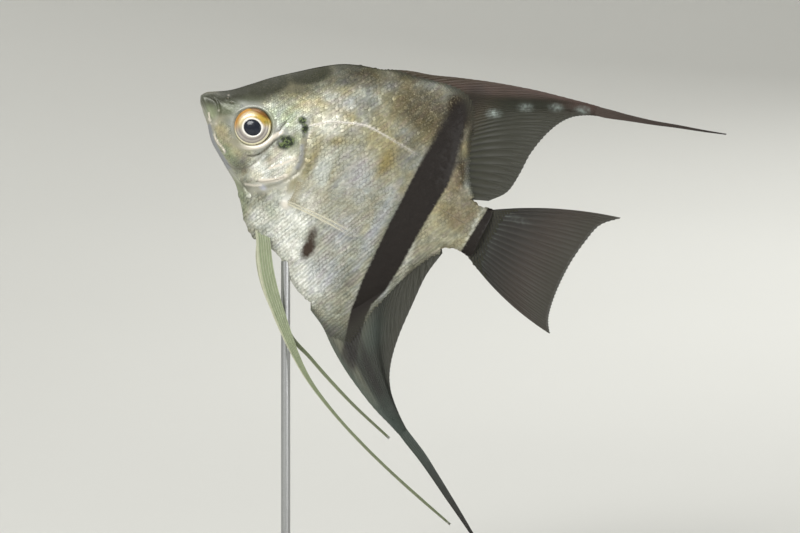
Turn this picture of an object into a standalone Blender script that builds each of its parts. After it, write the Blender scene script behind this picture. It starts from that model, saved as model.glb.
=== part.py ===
"""A freshwater angelfish as a life-size still model, held nose-up on a plain display stand.

The fish is drawn in its own level frame, in millimetres: x runs back from the snout, z up from
the line between snout and tail, and y to its right, so that its left flank is at -y. An empty
then pitches it and lifts it over the stand, whose underside is centred on the origin.
"""

import math

import bmesh
import bpy
import numpy as np
from mathutils import Vector

MM = 0.001
GAP = 0.3  # between pieces that meet

# Pose, and the stand that holds it
PITCH = math.radians(26.3)
SNOUT_X, SNOUT_Z = -38.3, 137.6
BASE_LENGTH, BASE_WIDTH, BASE_HEIGHT = 112.0, 58.0, 7.0
BASE_CORNER, BASE_EDGE = 16.0, 1.2
ROD_RADIUS, ROD_X = 1.25, -16.0
ROD_DEPTH = 3.0  # how far the rod goes into the belly
COLLAR_RADIUS, COLLAR_HEIGHT, COLLAR_NECK = 4.2, 3.6, 2.4

# Outlines of the body without its fins, as (x, z), from snout to tail
BACK = [
    (-0.8, 0.2), (0.3, 1.7), (2.5, 3.2), (6, 5.6), (10, 9.3), (14, 13.1), (20, 18), (25, 21.9),
    (30, 25.1), (36, 27.3), (42, 28.5), (50, 30.2), (56, 31.2), (60.5, 30.9), (64, 29), (66.5, 25.8),
    (68.4, 21.4), (70.2, 16.9), (72.6, 12.5), (75.4, 9), (79, 7.1), (84, 7.6),
]
BELLY = [
    (-0.8, 0.2), (-0.1, -1.5), (1.2, -2.8), (2.6, -4.4), (4.1, -6.2), (5.6, -8.2), (7.5, -10.2),
    (10.4, -12.2), (14, -14.6), (17.9, -17.2), (21.2, -20.9), (24.8, -25.3), (29, -28.2), (34, -28.7),
    (38, -30), (42, -33.4), (46, -35.8), (50, -36.9), (54.5, -38), (58.5, -37.6), (61.5, -34.8),
    (64.5, -30.2), (67.6, -25), (70, -19.6), (72.2, -14.2), (75, -9), (79, -6.8), (84, -7.2),
]
# Half the body's width at the level of the spine, as (x, half width)
FLANK = [
    (-0.8, 0.2), (0.2, 1.1), (2, 1.9), (5, 2.9), (10, 4.4), (15, 5.6), (20, 6.3), (26, 6.8),
    (33, 7), (42, 6.6), (52, 5.4), (62, 3.9), (70, 2.8), (77, 2.1), (84, 1.5),
]
EDGE_HALF = 0.75  # half thickness of the keels along back and belly
# How far along the body each share of the way round the sphere lies
SPINE_SHARES = [0, 0.16, 0.4, 0.66, 0.92, 0.97, 1]
SPINE_PLACES = [-0.8, 7, 28, 60, 80, 84, 84]

# Head
JAW_LINE = [(-4, 2.2), (5.1, -5.3), (7.2, -7.9), (9.2, -9.7), (12.4, -11.2), (13.6, -16)]
GILL_EDGE = [
    (26.5, 30), (28.6, 14), (30.4, 5), (31.4, -3), (30.7, -8.5), (27.5, -12.6), (22.5, -15.8), (15, -20),
]
GILL_COVER = [
    (25.2, 7.4), (28.6, 6.6), (30.4, 5), (31.4, -3), (30.7, -8.5), (27.5, -12.6), (22.8, -15.6),
    (20.6, -14), (20.4, -9), (22, -3.6), (23.2, 2.6),
]
GILL_DEPTH = 2.0  # from the middle plane to the back of a gill cover
EYE_AT, EYE_RADIUS, EYE_HALF_DEPTH, EYE_OUT = (16.0, -1.25), 5.2, 2.6, 4.4
EYE_TURN = math.radians(10)  # the eyes look a little forward
STALK_FROM = 75.0  # where trunk and tail stalk part

# Each ray as (x of its root on the back or belly, x and z of its tip)
DORSAL_RAYS = [
    (38, 39.6, 29), (42, 46.2, 31), (46, 53, 32.9), (50, 60.5, 35.7), (54, 69.5, 38.7),
    (57.5, 79.5, 41.5), (60, 90, 43.8), (61.5, 97.8, 45.3), (62.8, 98.2, 44.6), (64, 98.5, 43.8),
    (65.1, 98.6, 43), (66.2, 95.3, 41.6), (67.2, 91.8, 39.3), (68.1, 89.2, 35.8), (69, 87.3, 31),
    (70.2, 86.1, 25.3), (71.6, 85.9, 19), (73.6, 85, 13.4), (77, 81.6, 9.1),
]
ANAL_RAYS = [
    (50, 51.5, -38.7), (52, 56.4, -41.3), (54, 61.3, -45.2), (56, 68, -49.6), (57.8, 77.6, -54.5),
    (59.4, 84.6, -57.1), (60.9, 88.2, -58.4), (62.2, 88.5, -57.6), (63.5, 88.8, -56.8),
    (64.8, 88.8, -55.9), (66.1, 86.2, -53.9), (67.2, 83.2, -51.3), (68.2, 80.5, -48.4),
    (69.2, 78.3, -44.6), (70.3, 76.8, -39.6), (71.4, 75.9, -33.3), (72.5, 75.5, -25),
    (73.8, 75.3, -16.5), (76, 76.6, -9.1),
]
DORSAL_BOW, ANAL_BOW = 0.07, -0.09  # the most that a ray bends, as a share of its length
# Each line across a streamer as (x and z of its front edge, x and z of its rear edge)
DORSAL_STREAMER = [
    (98.9, 45.5, 99.3, 43), (105, 46.7, 105.4, 45), (112, 48.4, 112.4, 47.3),
    (119, 50.5, 119.3, 49.7), (126, 52.5, 126.2, 52), (131.4, 54.2, 131.5, 53.9),
]
ANAL_STREAMER = [
    (88.7, -58.7, 89.7, -56.3), (95, -61.7, 96.1, -59.5), (100.4, -64.6, 101.3, -62.7),
    (106.2, -67.9, 107, -66.3), (112, -71.1, 112.6, -69.9), (117, -73.9, 117.4, -73.1),
    (121.3, -76.3, 121.5, -75.9),
]
# Each ray as (z of its root, x and z of its tip)
TAIL_RAYS = [
    (7.2, 116, 21), (6, 111.6, 16.6), (4.2, 110, 11), (1.8, 109, 4.6), (-0.6, 108.8, -0.6),
    (-2.8, 109, -5.4), (-4.6, 109.6, -9.8), (-6, 110.6, -13), (-6.9, 112.5, -15.8),
]
TAIL_ROOT_X = 84.4
# Each line across a pelvic fin as (x and z of its front edge, x and z of its rear edge)
NEAR_PELVIC = [
    (29.6, -27.4, 33.9, -27.2), (32.8, -33, 37.5, -32.7), (37.2, -38.8, 41.9, -38.1),
    (44.4, -45.4, 47.7, -44.2), (52, -51.4, 53.8, -50.2), (60, -56.5, 60.7, -55.5),
    (70, -61.2, 70.4, -60.4), (80, -65, 80.3, -64.2),
    (90, -68.2, 90.2, -67.4), (100, -71, 100.2, -70.2), (110.5, -73.6, 110.6, -73),
]
FAR_PELVIC = [
    (29.6, -27.4, 33.2, -27.2), (31.9, -32.8, 36, -32), (36.2, -38.5, 40, -37.3), (42.4, -44, 45, -42.6),
    (49, -48.2, 50.2, -47.1), (56, -50.6, 56.5, -49.7), (64, -53.9, 64.4, -53), (74, -57.5, 74.3, -56.7),
    (86, -61, 86.2, -60.3),
]
PELVIC_ROOT_Y, PELVIC_SPLAY = 1.75, 0.11
# Each pectoral ray as (z of its root, x and z of its tip)
PECTORAL_RAYS = [
    (-9.2, 49.5, -3.4), (-10.4, 53.8, -5), (-11.7, 56.2, -8.6), (-13, 56.4, -12.6), (-14.2, 54.6, -15.6),
    (-15.3, 51.8, -17),
]
PECTORAL_ROOT_X, PECTORAL_SLOPE = 33.0, 0.16

# Half thickness of the fins at their roots and at their edges
ROOT_HALF, RIM_HALF = 0.55, 0.28
STREAMER_HALVES = (0.4, 0.28)
FIN_GAP = 0.45  # from the body's outline to a fin's root
SWEEP_FROM, SWEEP = 84.0, 0.0016  # the fins' rear ends bend gently to the fish's right


def clear_scene():
    for obj in list(bpy.data.objects):
        bpy.data.objects.remove(obj, do_unlink=True)


def smooth_curve(points, steps):
    """Points on the Catmull-Rom curve through the given ones, with so many steps to a span."""
    p = np.array(points, float)
    p = np.vstack([2 * p[0] - p[1], p, 2 * p[-1] - p[-2]])
    t = np.linspace(0, 1, steps, endpoint=False)[:, None]
    spans = []
    for a, b, c, d in zip(p, p[1:], p[2:], p[3:]):
        slope, pull = (c - a) / 2, (d - b) / 2
        square, cube = 3 * (c - b) - 2 * slope - pull, 2 * (b - c) + slope + pull
        spans.append(b + slope * t + square * t**2 + cube * t**3)
    return np.vstack(spans + [p[-2:-1]])


BACK_CURVE = smooth_curve(BACK, 10)
BELLY_CURVE = smooth_curve(BELLY, 10)
FLANK_CURVE = smooth_curve(FLANK, 10)


def read(curve, x):
    return float(np.interp(x, curve[:, 0], curve[:, 1]))


def half_width(x, share):
    """Half the body's width at x, where share runs from -1 at the belly's edge to 1 at the back's."""
    power, fullness = (1.75, 1.0) if share > 0 else (2.2, 0.85)
    bulk = read(FLANK_CURVE, x) * max(0.0, 1 - abs(share) ** power) ** fullness
    edge = min(EDGE_HALF, read(FLANK_CURVE, x)) * math.sqrt(max(0.0, 1 - share * share))
    return bulk * (1 - EDGE_HALF / 8) + edge


def material(name, color, roughness, metallic=0.0):
    made = bpy.data.materials.new(name)
    made.use_nodes = True
    shader = made.node_tree.nodes["Principled BSDF"]
    shader.inputs["Base Color"].default_value = (*color, 1)
    shader.inputs["Roughness"].default_value = roughness
    shader.inputs["Metallic"].default_value = metallic
    return made


def add(name, bm, finish, pose=None):
    """Turns a bmesh in millimetres into an object in metres, with its faces pointing out."""
    bm.normal_update()
    bmesh.ops.recalc_face_normals(bm, faces=bm.faces)
    bmesh.ops.scale(bm, vec=(MM, MM, MM), verts=bm.verts)
    mesh = bpy.data.meshes.new(name)
    bm.to_mesh(mesh)
    bm.free()
    obj = bpy.data.objects.new(name, mesh)
    bpy.context.scene.collection.objects.link(obj)
    obj.data.materials.append(finish)
    obj.data.shade_smooth()
    obj.parent = pose
    return obj


def as_cutter(obj):
    obj.hide_render = True
    obj.display_type = "WIRE"
    return obj


def boolean(obj, cutter, operation="DIFFERENCE"):
    modifier = obj.modifiers.new(f"{operation.lower()} {cutter.name}", "BOOLEAN")
    modifier.operation = operation
    modifier.object = cutter


# ---------------------------------------------------------------- body


def body_mesh():
    """A sphere whose poles are snout and tail, drawn out to the body's outline and thickness."""
    bm = bmesh.new()
    bmesh.ops.create_uvsphere(bm, u_segments=28, v_segments=46, radius=1)
    for vert in bm.verts:
        along = math.acos(max(-1, min(1, vert.co.z))) / math.pi
        x = float(np.interp(along, SPINE_SHARES, SPINE_PLACES))
        shrink = float(np.interp(along, SPINE_SHARES[-2:], (1, 0)))
        around = math.atan2(vert.co.y, vert.co.x)
        share = math.cos(around)
        z = share * read(BACK_CURVE, x) if share > 0 else -share * read(BELLY_CURVE, x)
        y = math.copysign(half_width(x, share), math.sin(around))
        if abs(math.sin(around)) < 1e-4:
            y = 0.0
        vert.co = (x, y * shrink, z * shrink)
    return bm


def outset(outline, distance):
    """The closed outline moved out by a distance, corner by corner."""
    points = [Vector(p) for p in outline]
    area = sum(a.x * b.y - b.x * a.y for a, b in zip(points, points[1:] + points[:1]))
    turn = 1 if area > 0 else -1
    moved = []
    for before, point, after in zip(points[-1:] + points[:-1], points, points[1:] + points[:1]):
        along = (after - before).normalized()
        moved.append(point + Vector((along.y, -along.x)) * distance * turn)
    return [tuple(p) for p in moved]


def prism(name, outline, low_y, high_y, pose):
    """A cutter: an outline in x and z, extruded along y."""
    bm = bmesh.new()
    corners = [bm.verts.new((x, low_y, z)) for x, z in outline]
    face = bm.faces.new(corners)
    made = bmesh.ops.extrude_face_region(bm, geom=[face])["geom"]
    moved = [v for v in made if isinstance(v, bmesh.types.BMVert)]
    bmesh.ops.translate(bm, verts=moved, vec=(0, high_y - low_y, 0))
    return as_cutter(add(name, bm, FLESH, pose))


def head_outline(shift):
    """All that lies ahead of the gill openings, with that edge moved back by a shift."""
    return [(-6, 34), *((x + shift, z) for x, z in GILL_EDGE), (-6, -24)]


def jaw_outline():
    """All that lies below the mouth's cleft and ahead of the throat."""
    return [*JAW_LINE, (2, -18), (-6, -8)]


def eyeball(name, side, grow, finish, pose):
    bm = bmesh.new()
    bmesh.ops.create_uvsphere(bm, u_segments=20, v_segments=12, radius=1)
    wide = EYE_RADIUS + grow
    bmesh.ops.scale(bm, vec=(wide, wide, EYE_HALF_DEPTH + grow), verts=bm.verts)
    for vert in bm.verts:
        back, up, out = vert.co
        x = EYE_AT[0] + back * math.cos(EYE_TURN) - out * math.sin(EYE_TURN)
        y = EYE_OUT + back * math.sin(EYE_TURN) + out * math.cos(EYE_TURN)
        vert.co = (x, side * y, EYE_AT[1] + up)
    return add(name, bm, finish, pose)


def make_body(pose):
    sides = {"left": -1, "right": 1}
    far = 30
    head_region = prism("cut_head", head_outline(0), -far, far, pose)
    trunk_start = prism("cut_trunk_start", head_outline(GAP), -far, far, pose)
    jaw_region = prism("cut_jaw", jaw_outline(), -far, far, pose)
    jaw_clear = prism("cut_jaw_clear", outset(jaw_outline(), GAP), -far, far, pose)

    head = add("head", body_mesh(), FLESH, pose)
    boolean(head, head_region, "INTERSECT")
    boolean(head, jaw_clear)
    for side, sign in sides.items():
        boolean(head, as_cutter(eyeball(f"cut_eye_{side}", sign, GAP, FLESH, pose)))
        eyeball(f"eye_{side}", sign, 0, EYE, pose)

        low, high = sorted((sign * GILL_DEPTH, sign * far))
        gill_region = prism(f"cut_gill_{side}", GILL_COVER, low, high, pose)
        gill_clear = prism(f"cut_gill_clear_{side}", outset(GILL_COVER, GAP), low - GAP, high + GAP, pose)
        boolean(head, gill_clear)
        cover = add(f"gill_cover_{side}", body_mesh(), FLESH, pose)
        boolean(cover, gill_region, "INTERSECT")

    jaw = add("lower_jaw", body_mesh(), FLESH, pose)
    boolean(jaw, jaw_region, "INTERSECT")

    trunk = add("trunk", body_mesh(), FLESH, pose)
    boolean(trunk, trunk_start)
    tail_box = [(STALK_FROM, 40), (100, 40), (100, -40), (STALK_FROM, -40)]
    boolean(trunk, prism("cut_tail", tail_box, -far, far, pose))
    boolean(trunk, as_cutter(rod("cut_rod", ROD_RADIUS + GAP, ROD_DEPTH + GAP)))

    stalk = add("tail_stalk", body_mesh(), FLESH, pose)
    stalk_box = [(x + GAP if x == STALK_FROM else x, z) for x, z in tail_box]
    boolean(stalk, prism("cut_stalk", stalk_box, -far, far, pose), "INTERSECT")


# ---------------------------------------------------------------- fins


def sweep(x):
    """How far the fins' rear ends are bent aside at x."""
    return SWEEP * max(0.0, x - SWEEP_FROM) ** 2


def outline_point(curve, x, lift):
    """A point on the body's outline at x, lifted off it along its normal."""
    step = 0.4
    slope = Vector((2 * step, read(curve, x + step) - read(curve, x - step))).normalized()
    normal = Vector((-slope.y, slope.x)) * (1 if curve is BACK_CURVE else -1)
    return Vector((x, read(curve, x))) + normal * lift


def sheet(starts, tips, depth_at, bow_at=lambda row: 0, steps=5, halves=(ROOT_HALF, RIM_HALF)):
    """A thin closed sheet between two rows of points, thickest along the starts.

    depth_at gives each point's y, and bow_at how far a line bends aside on its way, as a share
    of its length, where row runs from 0 at the first line to 1 at the last.
    """
    starts, tips = smooth_curve(starts, 2), smooth_curve(tips, 2)
    bm = bmesh.new()
    bmesh.ops.create_grid(bm, x_segments=len(starts) - 1, y_segments=steps, size=0.5)
    rows, (root_half, rim_half) = len(starts) - 1, halves
    places = {}
    for vert in bm.verts:
        row, along = round((vert.co.x + 0.5) * rows), vert.co.y + 0.5
        start, tip = starts[row], tips[row]
        across = np.array((start[1] - tip[1], tip[0] - start[0])) * bow_at(row / rows)
        x, z = start + (tip - start) * along + across * 4 * along * (1 - along)
        rim = max(along, abs(2 * row / rows - 1) ** 6)
        places[vert] = Vector((x, depth_at(x, z, along), z)), root_half + (rim_half - root_half) * rim
    made = bmesh.ops.extrude_face_region(bm, geom=list(bm.faces))["geom"]
    front = {tuple(round(c, 6) for c in v.co): places[v] for v in places}
    for vert in [v for v in made if isinstance(v, bmesh.types.BMVert)]:
        place, half = front[tuple(round(c, 6) for c in vert.co)]
        vert.co = place + Vector((0, half, 0))
    for vert, (place, half) in places.items():
        vert.co = place - Vector((0, half, 0))
    return bm


def lengths_of(bm, axis, cut):
    """The sheet's lengths below and above a cut across an axis, with the usual gap between them."""
    pieces = []
    for outward in (1, -1):
        piece = bm.copy()
        at, normal = Vector(), Vector()
        at[axis], normal[axis] = cut - outward * GAP / 2, outward
        geometry = [*piece.verts, *piece.edges, *piece.faces]
        bmesh.ops.bisect_plane(piece, geom=geometry, plane_co=at, plane_no=normal, clear_outer=True)
        bmesh.ops.holes_fill(piece, edges=[e for e in piece.edges if e.is_boundary], sides=0)
        pieces.append(piece)
    bm.free()
    return pieces


def make_fins(pose):
    def level(x, z, along):
        return sweep(x)

    for name, curve, rays, bow, cut, streamer in (
        ("dorsal_fin", BACK_CURVE, DORSAL_RAYS, DORSAL_BOW, 56.5, DORSAL_STREAMER),
        ("anal_fin", BELLY_CURVE, ANAL_RAYS, ANAL_BOW, 61.0, ANAL_STREAMER),
    ):
        starts = [outline_point(curve, root, FIN_GAP) for root, _, _ in rays]
        whole = sheet(
            starts, [tip for _, *tip in rays], level, lambda row: bow * math.sin(math.pi * row**2)
        )
        for part, piece in zip(("front", "sail"), lengths_of(whole, 0, cut)):
            add(f"{name}_{part}", piece, FIN, pose)
        fronts, rears = [line[:2] for line in streamer], [line[2:] for line in streamer]
        add(f"{name}_streamer", sheet(fronts, rears, level, steps=2, halves=STREAMER_HALVES), FIN, pose)

    starts = [(TAIL_ROOT_X, z) for z, _, _ in TAIL_RAYS]
    whole = sheet(starts, [tip for _, *tip in TAIL_RAYS], level, lambda row: 0.04 - 0.09 * row)
    for part, piece in zip(("lower", "upper"), lengths_of(whole, 2, 0.4)):
        add(f"tail_fin_{part}", piece, FIN, pose)

    for side, sign, lines in (("left", -1, NEAR_PELVIC), ("right", 1, FAR_PELVIC)):

        def splayed(x, z, along, sign=sign):
            reach = math.hypot(x - 31, z + 28) * 30 / (30 + abs(z + 28))
            return sign * (PELVIC_ROOT_Y + PELVIC_SPLAY * reach)

        fronts, rears = [line[:2] for line in lines], [line[2:] for line in lines]
        whole = sheet(fronts, rears, splayed, steps=2, halves=STREAMER_HALVES)
        for part, piece in zip(("fin", "streamer"), lengths_of(whole, 0, 58.0)):
            add(f"pelvic_{part}_{side}", piece, FIN, pose)

        def spread(x, z, along, sign=sign):
            share = z / -read(BELLY_CURVE, x)
            root = half_width(PECTORAL_ROOT_X, share) + ROOT_HALF + FIN_GAP
            return sign * (root + PECTORAL_SLOPE * (x - PECTORAL_ROOT_X))

        starts = [(PECTORAL_ROOT_X, z) for z, _, _ in PECTORAL_RAYS]
        tips = [tip for _, *tip in PECTORAL_RAYS]
        whole = sheet(starts, tips, spread, halves=STREAMER_HALVES)
        add(f"pectoral_fin_{side}", whole, FIN, pose)


# ---------------------------------------------------------------- stand


def belly_height(x):
    """The world height of the belly's edge straight above a point on the floor at x."""
    xs = SNOUT_X + BELLY_CURVE[:, 0] * math.cos(PITCH) + BELLY_CURVE[:, 1] * math.sin(PITCH)
    zs = SNOUT_Z + BELLY_CURVE[:, 1] * math.cos(PITCH) - BELLY_CURVE[:, 0] * math.sin(PITCH)
    crossings = [k for k in range(len(xs) - 1) if xs[k] <= x < xs[k + 1]]
    return min(float(np.interp(x, xs[k : k + 2], zs[k : k + 2])) for k in crossings)


def rod(name, radius, depth):
    """An upright rod from just above the collar to some depth inside the belly."""
    bottom = BASE_HEIGHT + COLLAR_HEIGHT + GAP
    height = belly_height(ROD_X) + depth - bottom
    bm = bmesh.new()
    bmesh.ops.create_cone(bm, cap_ends=True, segments=24, radius1=radius, radius2=radius, depth=height)
    bmesh.ops.translate(bm, verts=bm.verts, vec=(ROD_X, 0, bottom + height / 2))
    return add(name, bm, STEEL)


def make_stand():
    rod("stand_rod", ROD_RADIUS, ROD_DEPTH)

    bm = bmesh.new()
    sizes = {"radius1": COLLAR_RADIUS, "radius2": COLLAR_NECK, "depth": COLLAR_HEIGHT}
    bmesh.ops.create_cone(bm, cap_ends=True, segments=24, **sizes)
    bmesh.ops.translate(bm, verts=bm.verts, vec=(ROD_X, 0, BASE_HEIGHT + GAP / 2 + COLLAR_HEIGHT / 2))
    add("stand_collar", bm, STEEL)

    bm = bmesh.new()
    bmesh.ops.create_cube(bm, size=1)
    bmesh.ops.scale(bm, vec=(BASE_LENGTH, BASE_WIDTH, BASE_HEIGHT), verts=bm.verts)
    bmesh.ops.translate(bm, verts=bm.verts, vec=(0, 0, BASE_HEIGHT / 2))
    upright = [e for e in bm.edges if abs(e.verts[0].co.z - e.verts[1].co.z) > BASE_HEIGHT / 2]
    bmesh.ops.bevel(
        bm, geom=upright, offset=BASE_CORNER, affect="EDGES", segments=8, profile=0.5, material=-1
    )
    top = max(bm.faces, key=lambda f: f.calc_center_median().z)
    bmesh.ops.bevel(
        bm, geom=list(top.edges), offset=BASE_EDGE, affect="EDGES", segments=3, profile=0.5, material=-1
    )
    add("stand_base", bm, WOOD)


clear_scene()
FLESH = material("silver skin", (0.56, 0.54, 0.47), 0.35, 0.3)
FIN = material("grey fin membrane", (0.16, 0.16, 0.14), 0.5)
EYE = material("eye", (0.75, 0.66, 0.4), 0.1)
STEEL = material("brushed steel", (0.6, 0.6, 0.6), 0.3, 1.0)
WOOD = material("dark stained wood", (0.09, 0.05, 0.03), 0.45)

fish = bpy.data.objects.new("fish_pose", None)
bpy.context.scene.collection.objects.link(fish)
fish.location = (SNOUT_X * MM, 0, SNOUT_Z * MM)
fish.rotation_euler = (0, PITCH, 0)

make_body(fish)
make_fins(fish)
make_stand()
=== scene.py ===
import math

import bmesh
import bpy
import numpy as np
from mathutils import Matrix, Vector


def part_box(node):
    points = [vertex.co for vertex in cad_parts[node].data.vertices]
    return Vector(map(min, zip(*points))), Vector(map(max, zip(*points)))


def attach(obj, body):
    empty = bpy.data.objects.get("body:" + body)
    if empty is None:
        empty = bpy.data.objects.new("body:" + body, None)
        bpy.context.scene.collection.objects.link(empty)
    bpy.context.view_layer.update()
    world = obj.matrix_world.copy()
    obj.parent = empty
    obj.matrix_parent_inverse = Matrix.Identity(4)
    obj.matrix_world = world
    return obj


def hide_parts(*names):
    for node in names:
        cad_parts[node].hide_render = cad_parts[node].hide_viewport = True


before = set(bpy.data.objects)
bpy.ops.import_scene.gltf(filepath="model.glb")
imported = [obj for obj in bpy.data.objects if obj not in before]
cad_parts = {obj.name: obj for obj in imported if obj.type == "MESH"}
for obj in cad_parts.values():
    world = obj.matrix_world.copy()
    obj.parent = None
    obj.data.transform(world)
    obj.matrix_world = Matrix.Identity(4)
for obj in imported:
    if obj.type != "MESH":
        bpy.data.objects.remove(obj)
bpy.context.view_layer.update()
mm = 0.001

# The fish is drawn level, in millimetres: x back from the snout, y to its right, z up.
# Then it is pitched and lifted.
pose = {"pitch": math.radians(26.3), "snout": Vector((-38.3, 0, 137.6))}
turned = Matrix.Rotation(pose["pitch"], 4, "Y")
toWorld = Matrix.Scale(mm, 4) @ Matrix.Translation(pose["snout"]) @ turned

body = {
    "back": [
        (-0.8, 0.2), (0.3, 1.7), (2.5, 3.2), (6, 5.6), (10, 9.3), (14, 13.1), (20, 18), (25, 21.9),
        (30, 25.1), (36, 27.3), (42, 28.5), (50, 30.2), (56, 31.2), (60.5, 30.9), (64, 29), (66.5, 25.8),
        (68.4, 21.4), (70.2, 16.9), (72.6, 12.5), (75.4, 9), (79, 7.1), (84, 7.6),
    ],
    "belly": [
        (-0.8, 0.2), (-0.1, -1.5), (1.2, -2.8), (2.6, -4.4), (4.1, -6.2), (5.6, -8.2), (7.5, -10.2),
        (10.4, -12.2), (14, -14.6), (17.9, -17.2), (21.2, -20.9), (24.8, -25.3), (29, -28.2), (34, -28.7),
        (38, -30), (42, -33.4), (46, -35.8), (50, -36.9), (54.5, -38), (58.5, -37.6), (61.5, -34.8),
        (64.5, -30.2), (67.6, -25), (70, -19.6), (72.2, -14.2), (75, -9), (79, -6.8), (84, -7.2),
    ],
    "flank": [
        (-0.8, 0.2), (0.2, 1.1), (2, 1.9), (5, 2.9), (10, 4.4), (15, 5.6), (20, 6.3), (26, 6.8),
        (33, 7), (42, 6.6), (52, 5.4), (62, 3.9), (70, 2.8), (77, 2.1), (84, 1.5),
    ],
    "keel": 0.75,  # half thickness of the edges along back and belly
    "above": (1.75, 1.0), "below": (2.2, 0.85),  # how its section bulges above and below: power and fullness
    "shares": [0, 0.16, 0.4, 0.66, 0.92, 0.97, 1],  # of the rings, from snout to tail
    "places": [-0.8, 7, 28, 60, 80, 84, 84],
    "coat": 0.26,  # depth that the scales take up over the skin
    "ends": (-0.75, 83.9),  # where its surface can still be measured
}
eye = {
    "x": 16.0, "z": -1.25, "radius": 5.2, "halfDepth": 2.6, "out": 4.4, "turn": math.radians(10),
    "socket": 1.9, "socketEdge": (5.35, 4.5),  # its depth, and the distances over which the skin goes down
    "bare": 6.3,  # no scales nearer than this
}
sides = {"left": -1, "right": 1}


def smoothCurve(points, steps):
    # points on a smooth curve through the given ones, so many to a span
    p = np.array(points, float)
    p = np.vstack([2 * p[0] - p[1], p, 2 * p[-1] - p[-2]])
    t = np.linspace(0, 1, steps, endpoint=False)[:, None]
    spans = []
    for a, b, c, d in zip(p, p[1:], p[2:], p[3:]):
        slope, pull = (c - a) / 2, (d - b) / 2
        square, cube = 3 * (c - b) - 2 * slope - pull, 2 * (b - c) + slope + pull
        spans.append(b + slope * t + square * t**2 + cube * t**3)
    return np.vstack(spans + [p[-2:-1]])


backCurve = smoothCurve(body["back"], 10)
bellyCurve = smoothCurve(body["belly"], 10)
flankCurve = smoothCurve(body["flank"], 10)


def read(curve, x):
    return np.interp(x, curve[:, 0], curve[:, 1])


def ease(low, high, value):
    # 0 below low, 1 above high and smooth between; high may be the lower of the two
    t = np.clip((value - low) / (high - low), 0, 1)
    return t * t * (3 - 2 * t)


def hump(away, width, at=0.0):
    # 1 where away is at, and smoothly less to both sides
    return np.exp(-(((away - at) / width) ** 2))


def unit(vectors):
    return vectors / np.linalg.norm(vectors, axis=-1, keepdims=True)


def runsOf(points):
    # how far along a line each of its points lies
    return np.concatenate([[0], np.cumsum(np.linalg.norm(np.diff(points, axis=0), axis=1))])


def toLinear(red, green, blue):
    # a screen colour, 0 to 255, as the linear colour that shaders take
    parts = [c / 255 for c in (red, green, blue)]
    return tuple(c / 12.92 if c < 0.04045 else ((c + 0.055) / 1.055) ** 2.4 for c in parts)


# ---- node helpers


class Wire:
    # one output of a node, so that masks can be worked with as plain numbers
    def __init__(self, finish, socket):
        self.finish = finish
        self.socket = socket

    def __add__(self, other):
        return self.finish.maths("ADD", self, other)

    def __radd__(self, other):
        return self.finish.maths("ADD", other, self)

    def __sub__(self, other):
        return self.finish.maths("SUBTRACT", self, other)

    def __rsub__(self, other):
        return self.finish.maths("SUBTRACT", other, self)

    def __mul__(self, other):
        return self.finish.maths("MULTIPLY", self, other)

    def __rmul__(self, other):
        return self.finish.maths("MULTIPLY", other, self)

    def __truediv__(self, other):
        return self.finish.maths("DIVIDE", self, other)

    def __rtruediv__(self, other):
        return self.finish.maths("DIVIDE", other, self)


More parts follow.
